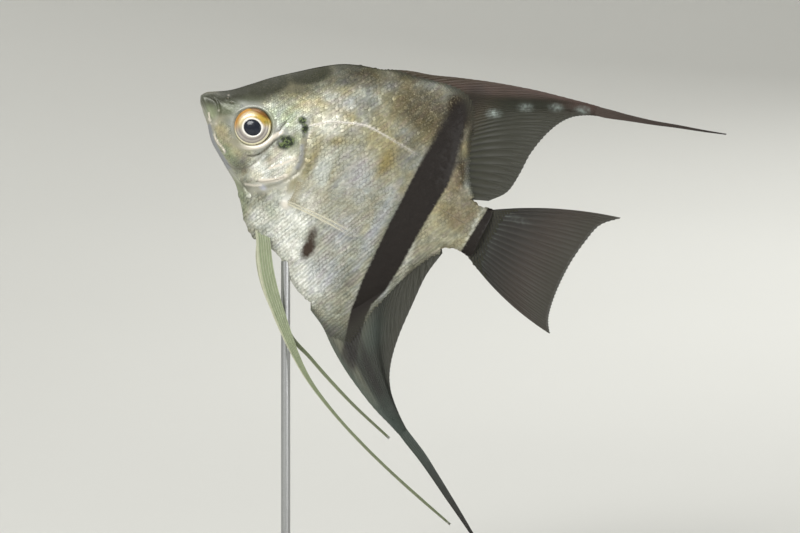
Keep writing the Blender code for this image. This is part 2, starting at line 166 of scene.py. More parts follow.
class Finish:
    # a material, and the one way that nodes get into it
    def __init__(self, name):
        self.material = bpy.data.materials.new(name)
        self.material.use_nodes = True
        self.tree = self.material.node_tree
        self.tree.nodes.clear()

    def node(self, kind, settings=None, inputs=None, output=0):
        made = self.tree.nodes.new(kind)
        for key, value in (settings or {}).items():
            if key == "stops":
                self.setStops(made.color_ramp.elements, value)
            else:
                setattr(made, key, value)
        for key, value in (inputs or {}).items():
            if isinstance(value, Wire):
                self.tree.links.new(value.socket, made.inputs[key])
            else:
                made.inputs[key].default_value = value
        return Wire(self, made.outputs[output]) if made.outputs else None

    def setStops(self, elements, stops):
        while len(elements) < len(stops):
            elements.new(1.0)
        for element, (place, value) in zip(elements, stops):
            element.position = place
            element.color = (*value, 1) if isinstance(value, tuple) else (value, value, value, 1)

    def maths(self, operation, *values, clamp=False):
        settings = {"operation": operation, "use_clamp": clamp}
        return self.node("ShaderNodeMath", settings, dict(enumerate(values)))

    def mix(self, factor, first, second, how="MIX"):
        first, second = ((*c, 1) if isinstance(c, tuple) else c for c in (first, second))
        settings = {"data_type": "RGBA", "blend_type": how}
        return self.node("ShaderNodeMix", settings, {0: factor, 6: first, 7: second}, 2)

    def span(self, value, low, high, first=0.0, last=1.0):
        # value carried from low..high to first..last, smoothly and no further
        inputs = {"Value": value, "From Min": low, "From Max": high, "To Min": first, "To Max": last}
        return self.node("ShaderNodeMapRange", {"interpolation_type": "SMOOTHSTEP"}, inputs)

    def attribute(self, name):
        return self.node("ShaderNodeAttribute", {"attribute_name": name}, {}, "Fac")

    def uv(self, name):
        return self.node("ShaderNodeUVMap", {"uv_map": name})

    def parts(self, vector):
        return [self.node("ShaderNodeSeparateXYZ", {}, {"Vector": vector}, i) for i in range(3)]

    def flat(self, x, y):
        return self.node("ShaderNodeCombineXYZ", {}, {"X": x, "Y": y})

    def length(self, vector):
        return self.node("ShaderNodeVectorMath", {"operation": "LENGTH"}, {0: vector}, "Value")

    def ramp(self, factor, stops):
        return self.node("ShaderNodeValToRGB", {"stops": stops}, {"Fac": factor}, "Color")

    def objectPlace(self, scale=1000.0, rotation=(0, 0, 0), location=(0, 0, 0)):
        place = self.node("ShaderNodeTexCoord", {}, {}, "Object")
        inputs = {"Vector": place, "Scale": (scale,) * 3, "Rotation": rotation, "Location": location}
        return self.node("ShaderNodeMapping", {"vector_type": "POINT"}, inputs)

    def fishPlace(self):
        # millimetres in the fish's own level frame
        back = turned.inverted().to_3x3() @ -pose["snout"]
        return self.objectPlace(1000.0, (0, -pose["pitch"], 0), tuple(back))

    def stretched(self, vector, x, y, z):
        return self.node("ShaderNodeVectorMath", {"operation": "MULTIPLY"}, {0: vector, 1: (x, y, z)})

    def noise(self, place, size, detail=2.0, rough=0.5):
        inputs = {"Vector": place, "Scale": 1 / size, "Detail": detail, "Roughness": rough}
        return self.node("ShaderNodeTexNoise", {"noise_dimensions": "3D"}, inputs, "Fac")

    def cells(self, place, size):
        return self.node("ShaderNodeTexVoronoi", {}, {"Vector": place, "Scale": 1 / size}, "Distance")

    def bump(self, height, depth, strength):
        # depth is the height in metres that 1 stands for
        return self.node("ShaderNodeBump", {}, {"Height": height, "Distance": depth, "Strength": strength})

    def close(self, **inputs):
        names = {key.replace("_", " "): value for key, value in inputs.items()}
        colour = names.get("Base Color")
        if isinstance(colour, tuple):
            names["Base Color"] = (*colour, 1)
        shader = self.node("ShaderNodeBsdfPrincipled", {}, names)
        self.node("ShaderNodeOutputMaterial", {}, {"Surface": shader})
        return self


# ---- mesh helpers


def placed(name, data):
    obj = bpy.data.objects.new(name, data)
    bpy.context.scene.collection.objects.link(obj)
    return obj


def keep(name, mesh, finish, replaced=()):
    # a finished mesh becomes a piece of the model
    obj = placed(name, mesh)
    mesh.materials.append(finish.material)
    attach(obj, "root")
    if replaced:
        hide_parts(*replaced)
    return obj


def meshFrom(name, bm):
    mesh = bpy.data.meshes.new(name)
    bm.to_mesh(mesh)
    bm.free()
    mesh.shade_smooth()
    return mesh


def pieceFrom(name, bm, finish, slotName, replaced=(), placing=toWorld):
    bm.transform(placing)
    return keep(name, meshFrom(name, bm), finish, replaced)


def setFloats(mesh, name, values):
    attribute = mesh.attributes.new(name, "FLOAT", "POINT")
    attribute.data.foreach_set("value", np.asarray(values, np.float32))


def places(bm):
    return np.array([v.co for v in bm.verts])


def moveTo(bm, points):
    for vert, point in zip(bm.verts, points):
        vert.co = point


# ---- drawing on the side of the fish


def distanceTo(points, x, z):
    # how far each (x, z) lies from a smooth line, the share of it passed there, and on which side it is
    line = smoothCurve(points, 6)
    best = np.full(x.shape, 1e9)
    passed = np.zeros(x.shape)
    side = np.zeros(x.shape)
    for k, (a, b) in enumerate(zip(line, line[1:])):
        run = b - a
        t = np.clip(((x - a[0]) * run[0] + (z - a[1]) * run[1]) / max(run @ run, 1e-9), 0, 1)
        away = np.hypot(x - a[0] - t * run[0], z - a[1] - t * run[1])
        nearer = away < best
        best = np.where(nearer, away, best)
        passed = np.where(nearer, (k + t) / (len(line) - 1), passed)
        turn = run[0] * (z - a[1]) - run[1] * (x - a[0])
        side = np.where(nearer, np.sign(turn), side)
    return best, passed, side


def spot(x, z, at, radii, solid=0.0, lean=0.0, most=1.0):
    # most in the middle of a leaning ellipse, 0 at its edge
    c, s = math.cos(math.radians(lean)), math.sin(math.radians(lean))
    dx, dz = x - at[0], z - at[1]
    away = np.hypot((dx * c + dz * s) / radii[0], (dz * c - dx * s) / radii[1])
    return most * ease(1, solid, away)


def band(x, z, points, width, solid=0.3):
    # 1 along a line that fades at both its ends, 0 beyond half its width
    away, passed, _ = distanceTo(points, x, z)
    return ease(width / 2, width / 2 * solid, away) * ease(0, 0.08, passed) * ease(1, 0.92, passed)


head = {
    "fading": 38, "end": 44,  # where its relief starts to fade, and none from here back
    "mouth": [(-1.2, 0.2), (-0.2, -0.9), (1.6, -2.4), (3.4, -3.9), (5.1, -5.3)],
    "lipFold": [(1.2, 1.6), (3.8, 0.8), (5.6, -1.2), (6.3, -3.4), (6.0, -5.6)],
    "jaw": [(5.1, -5.3), (7.2, -7.9), (9.2, -9.7), (12.4, -11.4), (15, -13)],
    "underEye": [
        (13.4, -7.4), (15.4, -7.4), (17.6, -6.8), (20, -5.3), (21.5, -3.3), (22.7, -0.7), (24.2, 1.5),
    ],
    "underEyeGroove": [(17.6, -9.2), (19.6, -8.3), (20.9, -7), (22.1, -4.7), (22.9, -2.6), (23.6, -1)],
    "preopercle": [
        (23.8, 4.4), (23.2, 2.2), (22.6, -3.4), (21.2, -8.6), (19.4, -11.8), (16.2, -13.5), (12.8, -12.9),
    ],
    "gillEdge": [
        (27.4, 7.4), (28.8, 5.2), (29.9, 2.6), (30.9, 0), (32, -3.2), (32, -6.2), (30.9, -8.8),
        (27.8, -12.9), (24.2, -15.4), (19, -17.2), (15.4, -15.6),
    ],
    "plates": [
        [(30.4, -3.4), (28.6, -5.6), (26.6, -7.8), (24.4, -9.8)],
        [(30.4, -8.6), (28.2, -11), (25.8, -12.6), (23.4, -13.6)],
    ],
    "plateFoot": (-0.75, -0.8),  # from a plate's ridge to the groove beside it
    "shoulder": [(31.3, -8), (32.6, -10.2), (33.6, -12.6), (33.4, -15.2)],
    "nostrils": [(6.3, 2.7), (7.9, 2.1)],
    "pectoralKnob": (33.1, -16.2),
    "pectoralRoot": [((33.1, -16.2), (2, 1.7), 0.2, 0, 0.35), ((32.8, -11.4), (1.8, 4.2), 0.2, 0, 0.25)],
    "pectoralGrooves": [[(31.6, -9), (32, -11.6), (32.2, -14)], [(32.9, -9.4), (33.2, -11.8), (33, -14)]],
    "gillRay": [(14.2, -13.9), (17.4, -15.6), (20.4, -16.8)],  # the first of those under the throat
    "gillRayStep": [(1.5, -0.75), (1.5, -0.65), (1.3, -0.5)],
    "gillRayCount": 5,
}
rises = {
    # height of each fold or ridge, its half width, and how far beside its line it runs
    "mouth": (-0.5, 0.22, 0), "lips": (0.2, 0.42, 0.75), "lipFold": (-0.2, 0.35, 0), "jaw": (-0.14, 0.28, 0),
    "underEye": (0.2, 0.6, 0), "underEyeGroove": (-0.32, 0.3, 0), "preopercle": (-0.24, 0.4, 0),
    "gillSlit": (-0.5, 0.75, 0), "gillRim": (0.1, 1.2, 0), "gillRay": (-0.12, 0.28, 0),
    "plate": (0.16, 0.5, 0), "plateFoot": (-0.16, 0.35, 0), "shoulder": (0.25, 0.6, 0),
    "pectoralGroove": (-0.14, 0.22, 0), "nostril": (-0.3, 0.3, 0), "nostrilRim": (0.06, 0.22, 0.55),
    "eyeRim": (0.1, 0.5, 5.7),
}


def rise(name, away):
    height, width, beside = rises[name]
    return height * hump(away, width, beside)


def raised(name, line, x, z):
    # a fold or ridge along a line, fading at both its ends
    away, passed, _ = distanceTo(line, x, z)
    return rise(name, away) * ease(0, 0.1, passed) * ease(1, 0.9, passed)


def headRelief(x, z):
    away, passed, _ = distanceTo(head["mouth"], x, z)
    height = (rise("mouth", away) + rise("lips", away)) * ease(1, 0.9, passed)
    for name in ("lipFold", "jaw", "underEye", "underEyeGroove", "preopercle", "shoulder"):
        height += raised(name, head[name], x, z)
    away, passed, side = distanceTo(head["gillEdge"], x, z)
    deep = ease(0, 0.3, passed) * ease(1, 0.9, passed) * (0.45 + 0.55 * ease(0.78, 0.5, passed))
    height += deep * np.where(side > 0, rise("gillSlit", away), rise("gillRim", away))
    for line in head["plates"]:
        height += raised("plate", line, x, z) + raised("plateFoot", np.add(line, head["plateFoot"]), x, z)
    for shape in head["pectoralRoot"]:
        height += spot(x, z, *shape)
    for line in head["pectoralGrooves"]:
        height += raised("pectoralGroove", line, x, z)
    for k in range(head["gillRayCount"]):
        line = np.array(head["gillRay"]) + k * np.array(head["gillRayStep"])
        height += raised("gillRay", line, x, z)
    for at in head["nostrils"]:
        away = np.hypot(x - at[0], z - at[1])
        height += rise("nostrilRim", away) + rise("nostril", away)
    away = np.hypot(x - eye["x"], z - eye["z"])
    height += rise("eyeRim", away) - eye["socket"] * ease(*eye["socketEdge"], away)
    return height * ease(head["end"], head["fading"], x)


def relief(x, z):
    # height over the plain body, in millimetres, from the head's bones, folds and openings
    height, near = np.zeros(x.shape), x < head["end"]
    if near.any():
        height[near] = headRelief(x[near], z[near])
    return height


def fleshAt(x, around):
    # the plain body's surface on its right side; around runs from 0 at the back to pi at the belly
    share = np.cos(around)
    upper = share > 0
    z = np.where(upper, share * read(backCurve, x), -share * read(bellyCurve, x))
    wide = read(flankCurve, x)
    power, fullness = (np.where(upper, *pair) for pair in zip(body["above"], body["below"]))
    bulk = wide * np.maximum(0, 1 - np.abs(share) ** power) ** fullness
    y = bulk * (1 - body["keel"] / 8) + np.minimum(body["keel"], wide) * np.sin(around)
    return np.stack([x, y, z], -1)


def outwardAt(x, around, step=0.02, reach=0.1):
    # unit normals of the plain body's right side
    before, after = (np.clip(around + turn, 0, math.pi) for turn in (-step, step))
    ahead, behind = (np.clip(x + away, *body["ends"]) for away in (-reach, reach))
    along = fleshAt(behind, around) - fleshAt(ahead, around)
    across = fleshAt(x, after) - fleshAt(x, before)
    out = np.cross(along, across)
    return out / np.maximum(np.linalg.norm(out, axis=-1, keepdims=True), 1e-9)


def skinAt(x, around, lift=0.0):
    plain = fleshAt(x, around)
    sunk = body["coat"] * ease(0, 5, x) + 0.02
    height = relief(x, plain[..., 2]) - sunk + lift
    thin = np.clip(plain[..., 1] / 1.4, 0, 1) * ease(-0.8, 0.8, x)  # none of the relief crosses the keels
    height = np.where(height < -sunk, -sunk + (height + sunk) * thin, height)
    return plain + outwardAt(x, around) * (height * ease(-0.8, 1.6, x))[..., None]


# ---- colours of the body, as soft marks one over the other

bars = {
    "front": [
        (-48, 64.6), (-42, 63.4), (-34, 61.4), (-25, 60.5), (-10, 60.3), (5, 60.5), (18, 60.9), (27, 61.2),
        (33, 61.6),
    ],
    "rear": [
        (-48, 69.4), (-42, 67.6), (-34, 65.6), (-30, 65.6), (-25, 67.2), (-17, 68), (-8, 68.4), (0, 69),
        (8, 69.7), (15, 69), (20, 68.1), (27, 66.8), (33, 66.2),
    ],
    "soft": 0.6, "softer": 2.6,  # its edges low on the body, and what they gain towards the back
    "slant": 0.1, "tailFront": (81.1, 81.9), "tailRear": (86, 85.2), "tailHigh": (8.6, 7.2),
}
lateralLine = {
    "upper": [
        (29.4, 5.4), (31.4, 7), (33.4, 8.6), (35.4, 9.7), (38.2, 10.8), (41.5, 12), (45, 12.5), (50, 12.2),
        (55, 11.9), (59.6, 11.4),
    ],
    "lower": [(68.5, 1.5), (72, 1.2), (80.6, 0.7)],
}


def barMask(x, z):
    # the broad bar behind the middle, and the one at the root of the tail
    front = np.interp(z, *np.array(bars["front"]).T)
    rear = np.interp(z, *np.array(bars["rear"]).T)
    soft = bars["soft"] + bars["softer"] * ease(6, 26, z)
    broad = ease(front - soft, front + soft, x) * ease(rear + soft, rear - soft, x)
    slant = x - bars["slant"] * z
    tailBar = ease(*bars["tailFront"], slant) * ease(*bars["tailRear"], slant)
    tailBar = tailBar * ease(*bars["tailHigh"], np.abs(z))
    return np.maximum(broad * ease(35, 27, z), tailBar)


def eyespotMask(x, z):
    # the round part of the mark behind the eye, weaker in its middle
    return spot(x, z, (25.5, -1.5), (3, 2.9), 0.35) * (1 - 0.5 * spot(x, z, (24.5, -1.6), (1, 0.9), 0.2))


def underEyeMask(x, z):
    return band(x, z, head["underEye"], 1.6, 0.3) * ease(13.6, 19.6, x)


def gillMask(x, z):
    # the shade behind the gill cover's edge
    away, passed, side = distanceTo(head["gillEdge"], x, z)
    behind = np.where(side > 0, ease(1.2, 0.1, away), ease(0.25, 0, away))
    return 0.35 * behind * ease(0.05, 0.35, passed) * ease(0.8, 0.6, passed)


def courseMask(x, z):
    broken = 0.75 + 0.25 * np.sin(5.6 * x)
    return broken * band(x, z, lateralLine["upper"], 1.0, 0.4) * np.interp(x, [32, 38, 50], [1, 0.95, 0.5])


marks = {
    # from the lowest up; spots: middle, radii, solid share, lean, strength;
    # bands: line, width, solid share, strength; upTo: none of it further back;
    # ragged: broken edges, and where it is full; even: not broken up at all;
    # flecks: size, detail, limits, share and colour of specks in it
    "silver": {"colour": (172, 173, 164), "spots": [
        ((45, -3), (11, 14), 0.1, 0, 0.6), ((50, -26), (12, 8), 0.1, -20, 0.6),
        ((38, 2), (8, 9), 0.1, 0, 0.4),
    ]},
    "slate": {"colour": (74, 80, 54), "spots": [
        ((7, 0.4), (6.4, 4.2), 0.35, 20, 0.95), ((12, 5.8), (9, 3), 0.2, 20, 0.9),
        ((22, 8), (6, 5.4), 0.1, 30, 0.5), ((2.5, -0.4), (4.4, 3.2), 0.3, 0, 0.9),
        ((8.6, -2.6), (2.6, 3.4), 0.1, 0, 0.5), ((4, -2.8), (3, 2.4), 0.2, -30, 0.4),
        ((16, -1.25), (6.8, 6.8), 0.7, 0, 0.35),
    ]},
    "olive": {"colour": (41, 42, 22), "spots": [
        ((7, 6), (10, 5.4), 0.35, 40), ((14, 11), (12, 6.2), 0.4, 40), ((23, 18.4), (12, 6), 0.35, 36),
        ((33, 25.4), (13, 5), 0.3, 18, 0.85), ((45, 30.4), (12, 3.2), 0.2, 7, 0.6),
        ((3.5, 1.4), (6, 3), 0.3, 20, 0.9), ((19, 12), (8, 6), 0.1, 40, 0.7),
        ((24, 15), (9, 4.6), 0.3, 38, 0.75), ((11, 6), (5, 3), 0.1, 20, 0.5),
        ((30, 20), (11, 5), 0.3, 32, 0.7), ((36, 25), (13, 5), 0.3, 14, 0.25),
    ]},
    "brown": {"colour": (54, 42, 22), "flecks": (0.42, 1.0, (0.55, 0.7), 0.34, (186, 178, 152)), "spots": [
        ((56, 23), (18, 11), 0.3, -8, 0.78), ((57, 14), (9, 14), 0.1, 0, 0.5),
        ((48, 27), (16, 6), 0.2, 8, 0.6), ((64, 28), (9, 7), 0.3, -30), ((38, 24), (12, 5.4), 0.1, 20, 0.6),
        ((71.4, 12), (3, 9), 0.3, 16, 0.95), ((50, 33), (15, 3), 0.4, 12, 0.95),
        ((42, 18), (7, 5), 0.1, 0, 0.35), ((70, 24), (3, 9), 0.3, 14, 0.9),
    ]},
    "bronze": {"colour": (126, 108, 62), "spots": [
        ((34.6, -2), (2.2, 7.5), 0.1, 0, 0.6), ((24.6, -7.2), (4.6, 2.2), 0.1, 45, 0.5),
        ((20, -12.6), (3, 1.6), 0.1, 30, 0.4), ((52.4, 6), (3, 9.5), 0.1, 0, 0.65),
        ((38, 6), (5, 3.2), 0.1, 20, 0.4), ((41.5, -6), (1.6, 8), 0.1, 8, 0.3),
        ((36, 13), (4, 2.6), 0.1, 30, 0.35), ((54, -4), (3, 8), 0.0, 0, 0.3),
    ]},
    "tan": {"colour": (118, 106, 78), "spots": [
        ((76, 3), (8, 9), 0.3, 0, 0.8), ((71, 8), (3.4, 9), 0.2, 16, 0.8),
        ((70, -12), (4, 9), 0.2, 15, 0.25),
    ]},
    "white": {"colour": (225, 226, 219), "spots": [
        ((36, -12), (4, 4), 0.1, 0, 0.5), ((36, -17), (10, 11), 0.3, -30, 0.9),
        ((38, -25), (10, 6), 0.4, -20, 0.95), ((28, -7), (6, 7), 0.1, 0, 0.8),
        ((23, -11), (5, 4.6), 0.2, 0, 0.95), ((47, -32), (11, 5.5), 0.3, -20, 0.85),
        ((34.6, 8.4), (6, 5.4), 0.2, 30, 0.6), ((38, -5), (5, 10), 0.1, 0, 0.4),
        ((28.6, -22), (4.4, 5), 0.2, -30, 0.85), ((27, 5.6), (4, 4), 0.1, 0, 0.4),
        ((68.6, -14), (2, 9), 0.1, 12, 0.4), ((81, 0), (0.7, 8), 0.3, 0, 0.4),
        ((44, -16), (6, 7), 0.1, 0, 0.3),
    ]},
    "cream": {"colour": (200, 187, 142), "spots": [
        ((32.6, 17.6), (8, 2.6), 0.1, 27, 0.25), ((22.7, -12.4), (3, 2.2), 0.1, 0, 0.3),
        ((8.6, -6), (5, 3), 0.1, -40, 0.35), ((30, -8), (1.6, 4), 0.1, 0, 0.4),
        ((14, -9), (6, 1.6), 0.1, -10, 0.3),
    ]},
    "green": {"colour": (132, 143, 108), "spots": [
        ((13, -10.6), (7, 2.8), 0.1, -30, 0.6), ((20, -19), (6, 3.4), 0.3, -45, 0.6),
        ((24, 5), (5, 4.4), 0.1, 0, 0.65), ((30.6, -19.4), (4, 3), 0.0, -40, 0.35),
        ((4, -2.8), (3, 2.2), 0.2, -30, 0.6), ((22.4, -22), (4.6, 2.8), 0.2, -50, 0.45),
        ((19, 3.4), (4, 4), 0.1, 0, 0.5), ((28, 0.6), (2.4, 5), 0.1, 0, 0.4),
    ]},
    # spots of darker grey low on the body; those beside and under the pectoral fin's root are painted shade
    "shade": {"colour": (86, 86, 74), "spots": [
        ((54, -35), (5, 4), 0.1, -20, 0.35), ((61, -38), (4, 7), 0.1, -20, 0.7),
        ((59.8, -8), (2.2, 24), 0.0, 0, 0.5), ((17.6, -12), (3.6, 3.4), 0.2, 0, 0.6),
        ((62, -43), (11, 9), 0.5, -40, 0.5), ((31, -16.6), (2.4, 1.4), 0.1, 0, 0.45),
        ((26.6, -16.8), (2.6, 1.6), 0.1, 0, 0.6), ((35.4, -14.6), (2.6, 1.5), 0.1, -6, 0.5),
        ((21, -16.4), (3, 2), 0.1, 0, 0.5), ((74, -26), (4, 16), 0.4, 10, 0.9),
        ((57, -27), (5, 10), 0.0, 0, 0.5),
    ]},
    "lilac": {"colour": (180, 182, 194), "spots": [
        ((47, 0), (7, 10), 0.0, 0, 0.55), ((25.6, -14.7), (1.6, 1.1), 0.2, 0, 0.8),
        ((57.6, -12), (2.4, 18), 0.1, 0, 0.5), ((35, 14.6), (7, 4), 0.1, 28, 0.3),
        ((50, -16), (6, 9), 0.0, 0, 0.6), ((50, -28), (8, 8), 0.1, 0, 0.45),
        ((66, -24), (2.6, 6), 0.1, 20, 0.5),
    ]},
    "yellow": {"colour": (128, 116, 52), "spots": [
        ((32.6, -10.8), (1.9, 4), 0.2, 0, 0.55), ((34.4, -4.4), (2, 5), 0.1, 0, 0.45),
        ((37.6, 5), (3, 2.2), 0.1, 20, 0.35), ((40.5, -2), (1.1, 6), 0.1, 6, 0.3),
        ((51.6, 4), (1.6, 7), 0.1, 0, 0.3),
    ]},
    "violet": {"colour": (142, 144, 146), "upTo": 40, "bands": [  # smooth skin along chin and gill cover
        ([(4.2, -5.6), (5.6, -7.4), (7.4, -9.5), (10, -11.4), (13, -13.2), (15.5, -14.8)], 2.2, 0.5, 1),
        ([(29.8, 0.6), (31, -2), (31.7, -4.4), (31.6, -6.6)], 1.7, 0.4, 0.8),
    ]},
    "lines": {"colour": (238, 229, 214), "upTo": 40, "even": True, "mask": underEyeMask, "bands": [
        (head["plates"][0], 1.1, 0.2, 0.9), (head["plates"][1], 1.5, 0.3, 1),
        ([(3.3, -2.9), (4.6, -5)], 0.8, 0.2, 0.8),
        ([(7, -7.4), (9, -9.1), (10.5, -9.7), (12.4, -10.9)], 0.9, 0.3, 0.9),
        ([(20.4, -16.2), (22, -15.6), (23.4, -15.2), (25.4, -14.1)], 0.8, 0.2, 0.6),
    ], "spots": [
        # the spots on the snout and just above the front nostril are painted highlights
        ((5.3, -5.5), (0.6, 0.4), 0, 0, 0.4), ((6.6, -4.9), (0.5, 0.5), 0, 0, 0.4),
        ((5.7, -1.4), (0.5, 0.6), 0, 0, 0.35), ((6.1, 3.5), (0.5, 0.4), 0, 0, 0.3),
        (head["pectoralKnob"], (2, 1.8), 0.1, 0, 0.7),
    ]},
    # painted shade in the mouth's slit, along the head's grooves and beside its lower plate, in the nostrils
    # and behind the gill cover's edge
    "groove": {"colour": (74, 70, 52), "upTo": 40, "even": True, "mask": gillMask, "bands": [
        (head["mouth"], 0.5, 0.1, 0.45), (head["underEyeGroove"], 0.8, 0.1, 0.9),
        (head["preopercle"], 0.6, 0.1, 0.45), (head["jaw"], 0.4, 0.1, 0.15),
        (np.add(head["plates"][1], (-0.5, -0.6)), 0.7, 0.1, 0.6),
    ], "spots": [(at, (0.45, 0.45), 0.3) for at in head["nostrils"]]},
    "blotch": {"colour": (58, 44, 33), "ragged": 0.9, "spots": [
        ((43.2, -20.8), (2.5, 5.6), 0.1, 8, 0.75), ((43.7, -24), (2.7, 5.2), 0.2, -2, 0.95),
    ]},
    "eyespot": {
        "colour": (28, 38, 16), "upTo": 40, "ragged": 1.02, "mask": eyespotMask,
        "flecks": (0.7, 2.0, (0.5, 0.62), 0.6, (122, 138, 84)),
        "bands": [([(26.4, 7), (27.4, 5.8), (28.7, 4.5), (29.4, 2.8)], 2.2, 0.2, 0.75)],
        "spots": [
            ((26.5, -0.6), (2.6, 2.5), 0.3), ((27.2, 6), (1.9, 1.7), 0.3), ((28.9, 4.3), (1.5, 2.1), 0.3),
            ((29.5, 2.4), (0.9, 1.3), 0.2, 0, 0.6), ((27.8, -0.4), (2.6, 2.4), 0.1, 0, 0.4),
            ((29, 7), (3, 2.4), 0.1, 0, 0.35),
        ],
    },
    "course": {"colour": (240, 234, 224), "even": True, "mask": courseMask},
    "bar": {"colour": (24, 16, 11), "ragged": 0.8, "mask": barMask},
}
silver = {
    # darkest and palest of each, before the marks
    "warm": ((146, 138, 107), (170, 163, 132)),
    "cool": ((145, 147, 138), (171, 173, 166)),
}


def strengthOf(mark, x, z):
    found = [spot(x, z, *shape) for shape in mark.get("spots", ())]
    found += [most * band(x, z, line, width, solid) for line, width, solid, most in mark.get("bands", ())]
    if "mask" in mark:
        found.append(mark["mask"](x, z))
    return np.maximum.reduce(found)


def paint(mesh, x, z):
    # every mark's strength at each point
    for name, mark in marks.items():
        strength = np.zeros(x.shape)
        within = x < mark.get("upTo", math.inf)
        if within.any():
            strength[within] = strengthOf(mark, x[within], z[within])
        setFloats(mesh, name, strength)


def bodyColour(finish, place):
    # silver, then each mark over it, broken up by grain
    grain = finish.noise(place, 2.2, 3.0, 0.6)
    fine = finish.noise(place, 0.45, 2.0, 0.6)
    cloud = finish.span(finish.noise(place, 9.0), 0.35, 0.65)
    warm, cool = (finish.mix(grain, *(toLinear(*c) for c in silver[key])) for key in ("warm", "cool"))
    low = finish.span(finish.parts(place)[2], 4, -16, 0, 0.7)
    colour = finish.mix(finish.maths("MAXIMUM", cloud, low), warm, cool)
    for name, mark in marks.items():
        strength = finish.attribute(name)
        if "ragged" in mark:
            chips = 0.4 * (finish.noise(place, 0.8) - 0.5) * finish.span(strength, 0, 0.3)
            strength = finish.span(strength * (0.75 + 0.5 * fine) + chips, 0.06, mark["ragged"])
        elif "even" not in mark:
            strength = finish.maths("MULTIPLY", strength, 0.8 + 0.4 * fine, clamp=True)
        colour = finish.mix(strength, colour, toLinear(*mark["colour"]))
        if "flecks" in mark:
            size, detail, limits, share, pale = mark["flecks"]
            flecks = finish.span(finish.noise(place, size, detail), *limits)
            colour = finish.mix(share * flecks * strength, colour, toLinear(*pale))
    return colour, grain, fine


print("the fish's outlines and marks are drawn")

# ---- skin

skinShape = {"around": 400, "along": 236, "pores": 0.55, "folds": 0.8, "depth": 0.00006}


def makeSkin():
    finish = Finish("silver skin")
    place = finish.fishPlace()
    colour, grain, fine = bodyColour(finish, place)
    height = finish.noise(place, skinShape["folds"], 3.0) + 0.35 * finish.cells(place, skinShape["pores"])
    finish.close(
        Base_Color=colour,
        Metallic=finish.span(grain, 0.3, 0.7, 0.1, 0.35),
        Roughness=finish.span(fine, 0.3, 0.7, 0.34, 0.48),
        Coat_Weight=0.15,
        Coat_Roughness=0.25,
        Normal=finish.bump(height, skinShape["depth"], 0.8),
    )
    bm = bmesh.new()
    bmesh.ops.create_uvsphere(bm, u_segments=skinShape["around"], v_segments=skinShape["along"], radius=1)
    ball = places(bm)
    along = np.arccos(np.clip(ball[:, 2], -1, 1)) / math.pi
    x = np.interp(along, body["shares"], body["places"])
    around = np.arctan2(ball[:, 1], ball[:, 0])
    points = skinAt(x, np.abs(around))
    shrink = np.interp(along, body["shares"][-2:], (1, 0))
    points[:, 1] *= np.sign(np.round(np.sin(around), 6)) * shrink
    points[:, 2] *= shrink
    moveTo(bm, points)
    bmesh.ops.recalc_face_normals(bm, faces=bm.faces)
    nodes = ("head", "lower_jaw", "gill_cover_left", "gill_cover_right", "trunk", "tail_stalk")
    skin = pieceFrom("skin", bm, finish, "skin", nodes)
    paint(skin.data, points[:, 0], points[:, 2])
    print("skin:", len(skin.data.polygons), "faces")


makeSkin()

# ---- scales

scaleSize = {
    "segments": 12, "inset": 0.34,
    "length": 0.84, "width": 0.76,  # half length and half width, as shares of the pitch and of the row
    "thick": 0.045, "dome": 0.045,
    "front": -0.06, "rear": 0.12,  # its front edge lies under the scale ahead, its rear edge over the next
    "uneven": 0.05, "unevenHeight": 0.07, "strayAlong": 0.06, "strayRound": 0.0018,
    "fullPitch": 1.2,  # scales laid closer than this are lower
    "last": 83.6, "keel": 0.992,  # no scales behind the one or on the edges past the other
    "patch": 0.0015,  # its half width on the baking map
}
scaleFields = {
    # where from and to, pitch along the body, row spacing, and how far tones, rims and lie vary
    "head": {"from": 7, "to": 34, "pitch": 0.7, "row": 0.6, "vary": 0.1, "rim": 0.6, "lean": 0.03},
    "chest": {"from": 14, "to": 46, "pitch": 1.24, "row": 1.04, "vary": 0.1, "rim": 0.65, "lean": 0.05},
    "flank": {"from": 26, "to": 84.5, "pitch": 1.12, "row": 0.95, "vary": 0.12, "rim": 0.6, "lean": 0.045},
}
scaleEdges = {
    # (height, place) along the gill cover and up over the nape
    "gills": [
        (-19, 20), (-15, 25), (-8.8, 31.3), (-6, 33), (-3, 33), (1, 31.8), (5, 30.8), (8, 29.6),
        (14, 30), (26, 34),
    ],
    # (place, height) along the top of the chest
    "chest": [(14, -10), (31, -17.5), (36, -21.5), (46, -34)],
}


def behindGills(x, z):
    return x > np.interp(z, *np.array(scaleEdges["gills"]).T)


def onChest(x, z):
    return behindGills(x, z) & (x < 46) & (z < np.interp(x, *np.array(scaleEdges["chest"]).T))


bare = {
    # lines that stay clear of scales, and how far from each
    "lines": [
        (head["underEye"], 1.15), (head["underEyeGroove"], 0.45), (head["preopercle"], 0.4),
        (head["mouth"], 2.0), (head["shoulder"], 0.4), (head["plates"][0], 0.5), (head["plates"][1], 0.6),
    ],
    "chin": [(2, -4.4), (7.6, -8.6), (12.4, -11.8), (18, -15.2)], "chinEnd": 16.6,
    "snout": (10.2, -4),  # none ahead of the one and above the other
    "forehead": 15.6, "nape": 23,  # where each of them ends
    "gills": [(0.95, 7.5), (1.5, -4.6)], "gillsEnd": 33.6,  # how near to the slit, and below what height
    "pectoral": (31.2, 33.9, -17, -8.4), "knob": 1.5,
}


def overBrow(x, z):
    # how far above the line where the small scales of the head end
    return z - (8 + 0.6 * (x - 14))


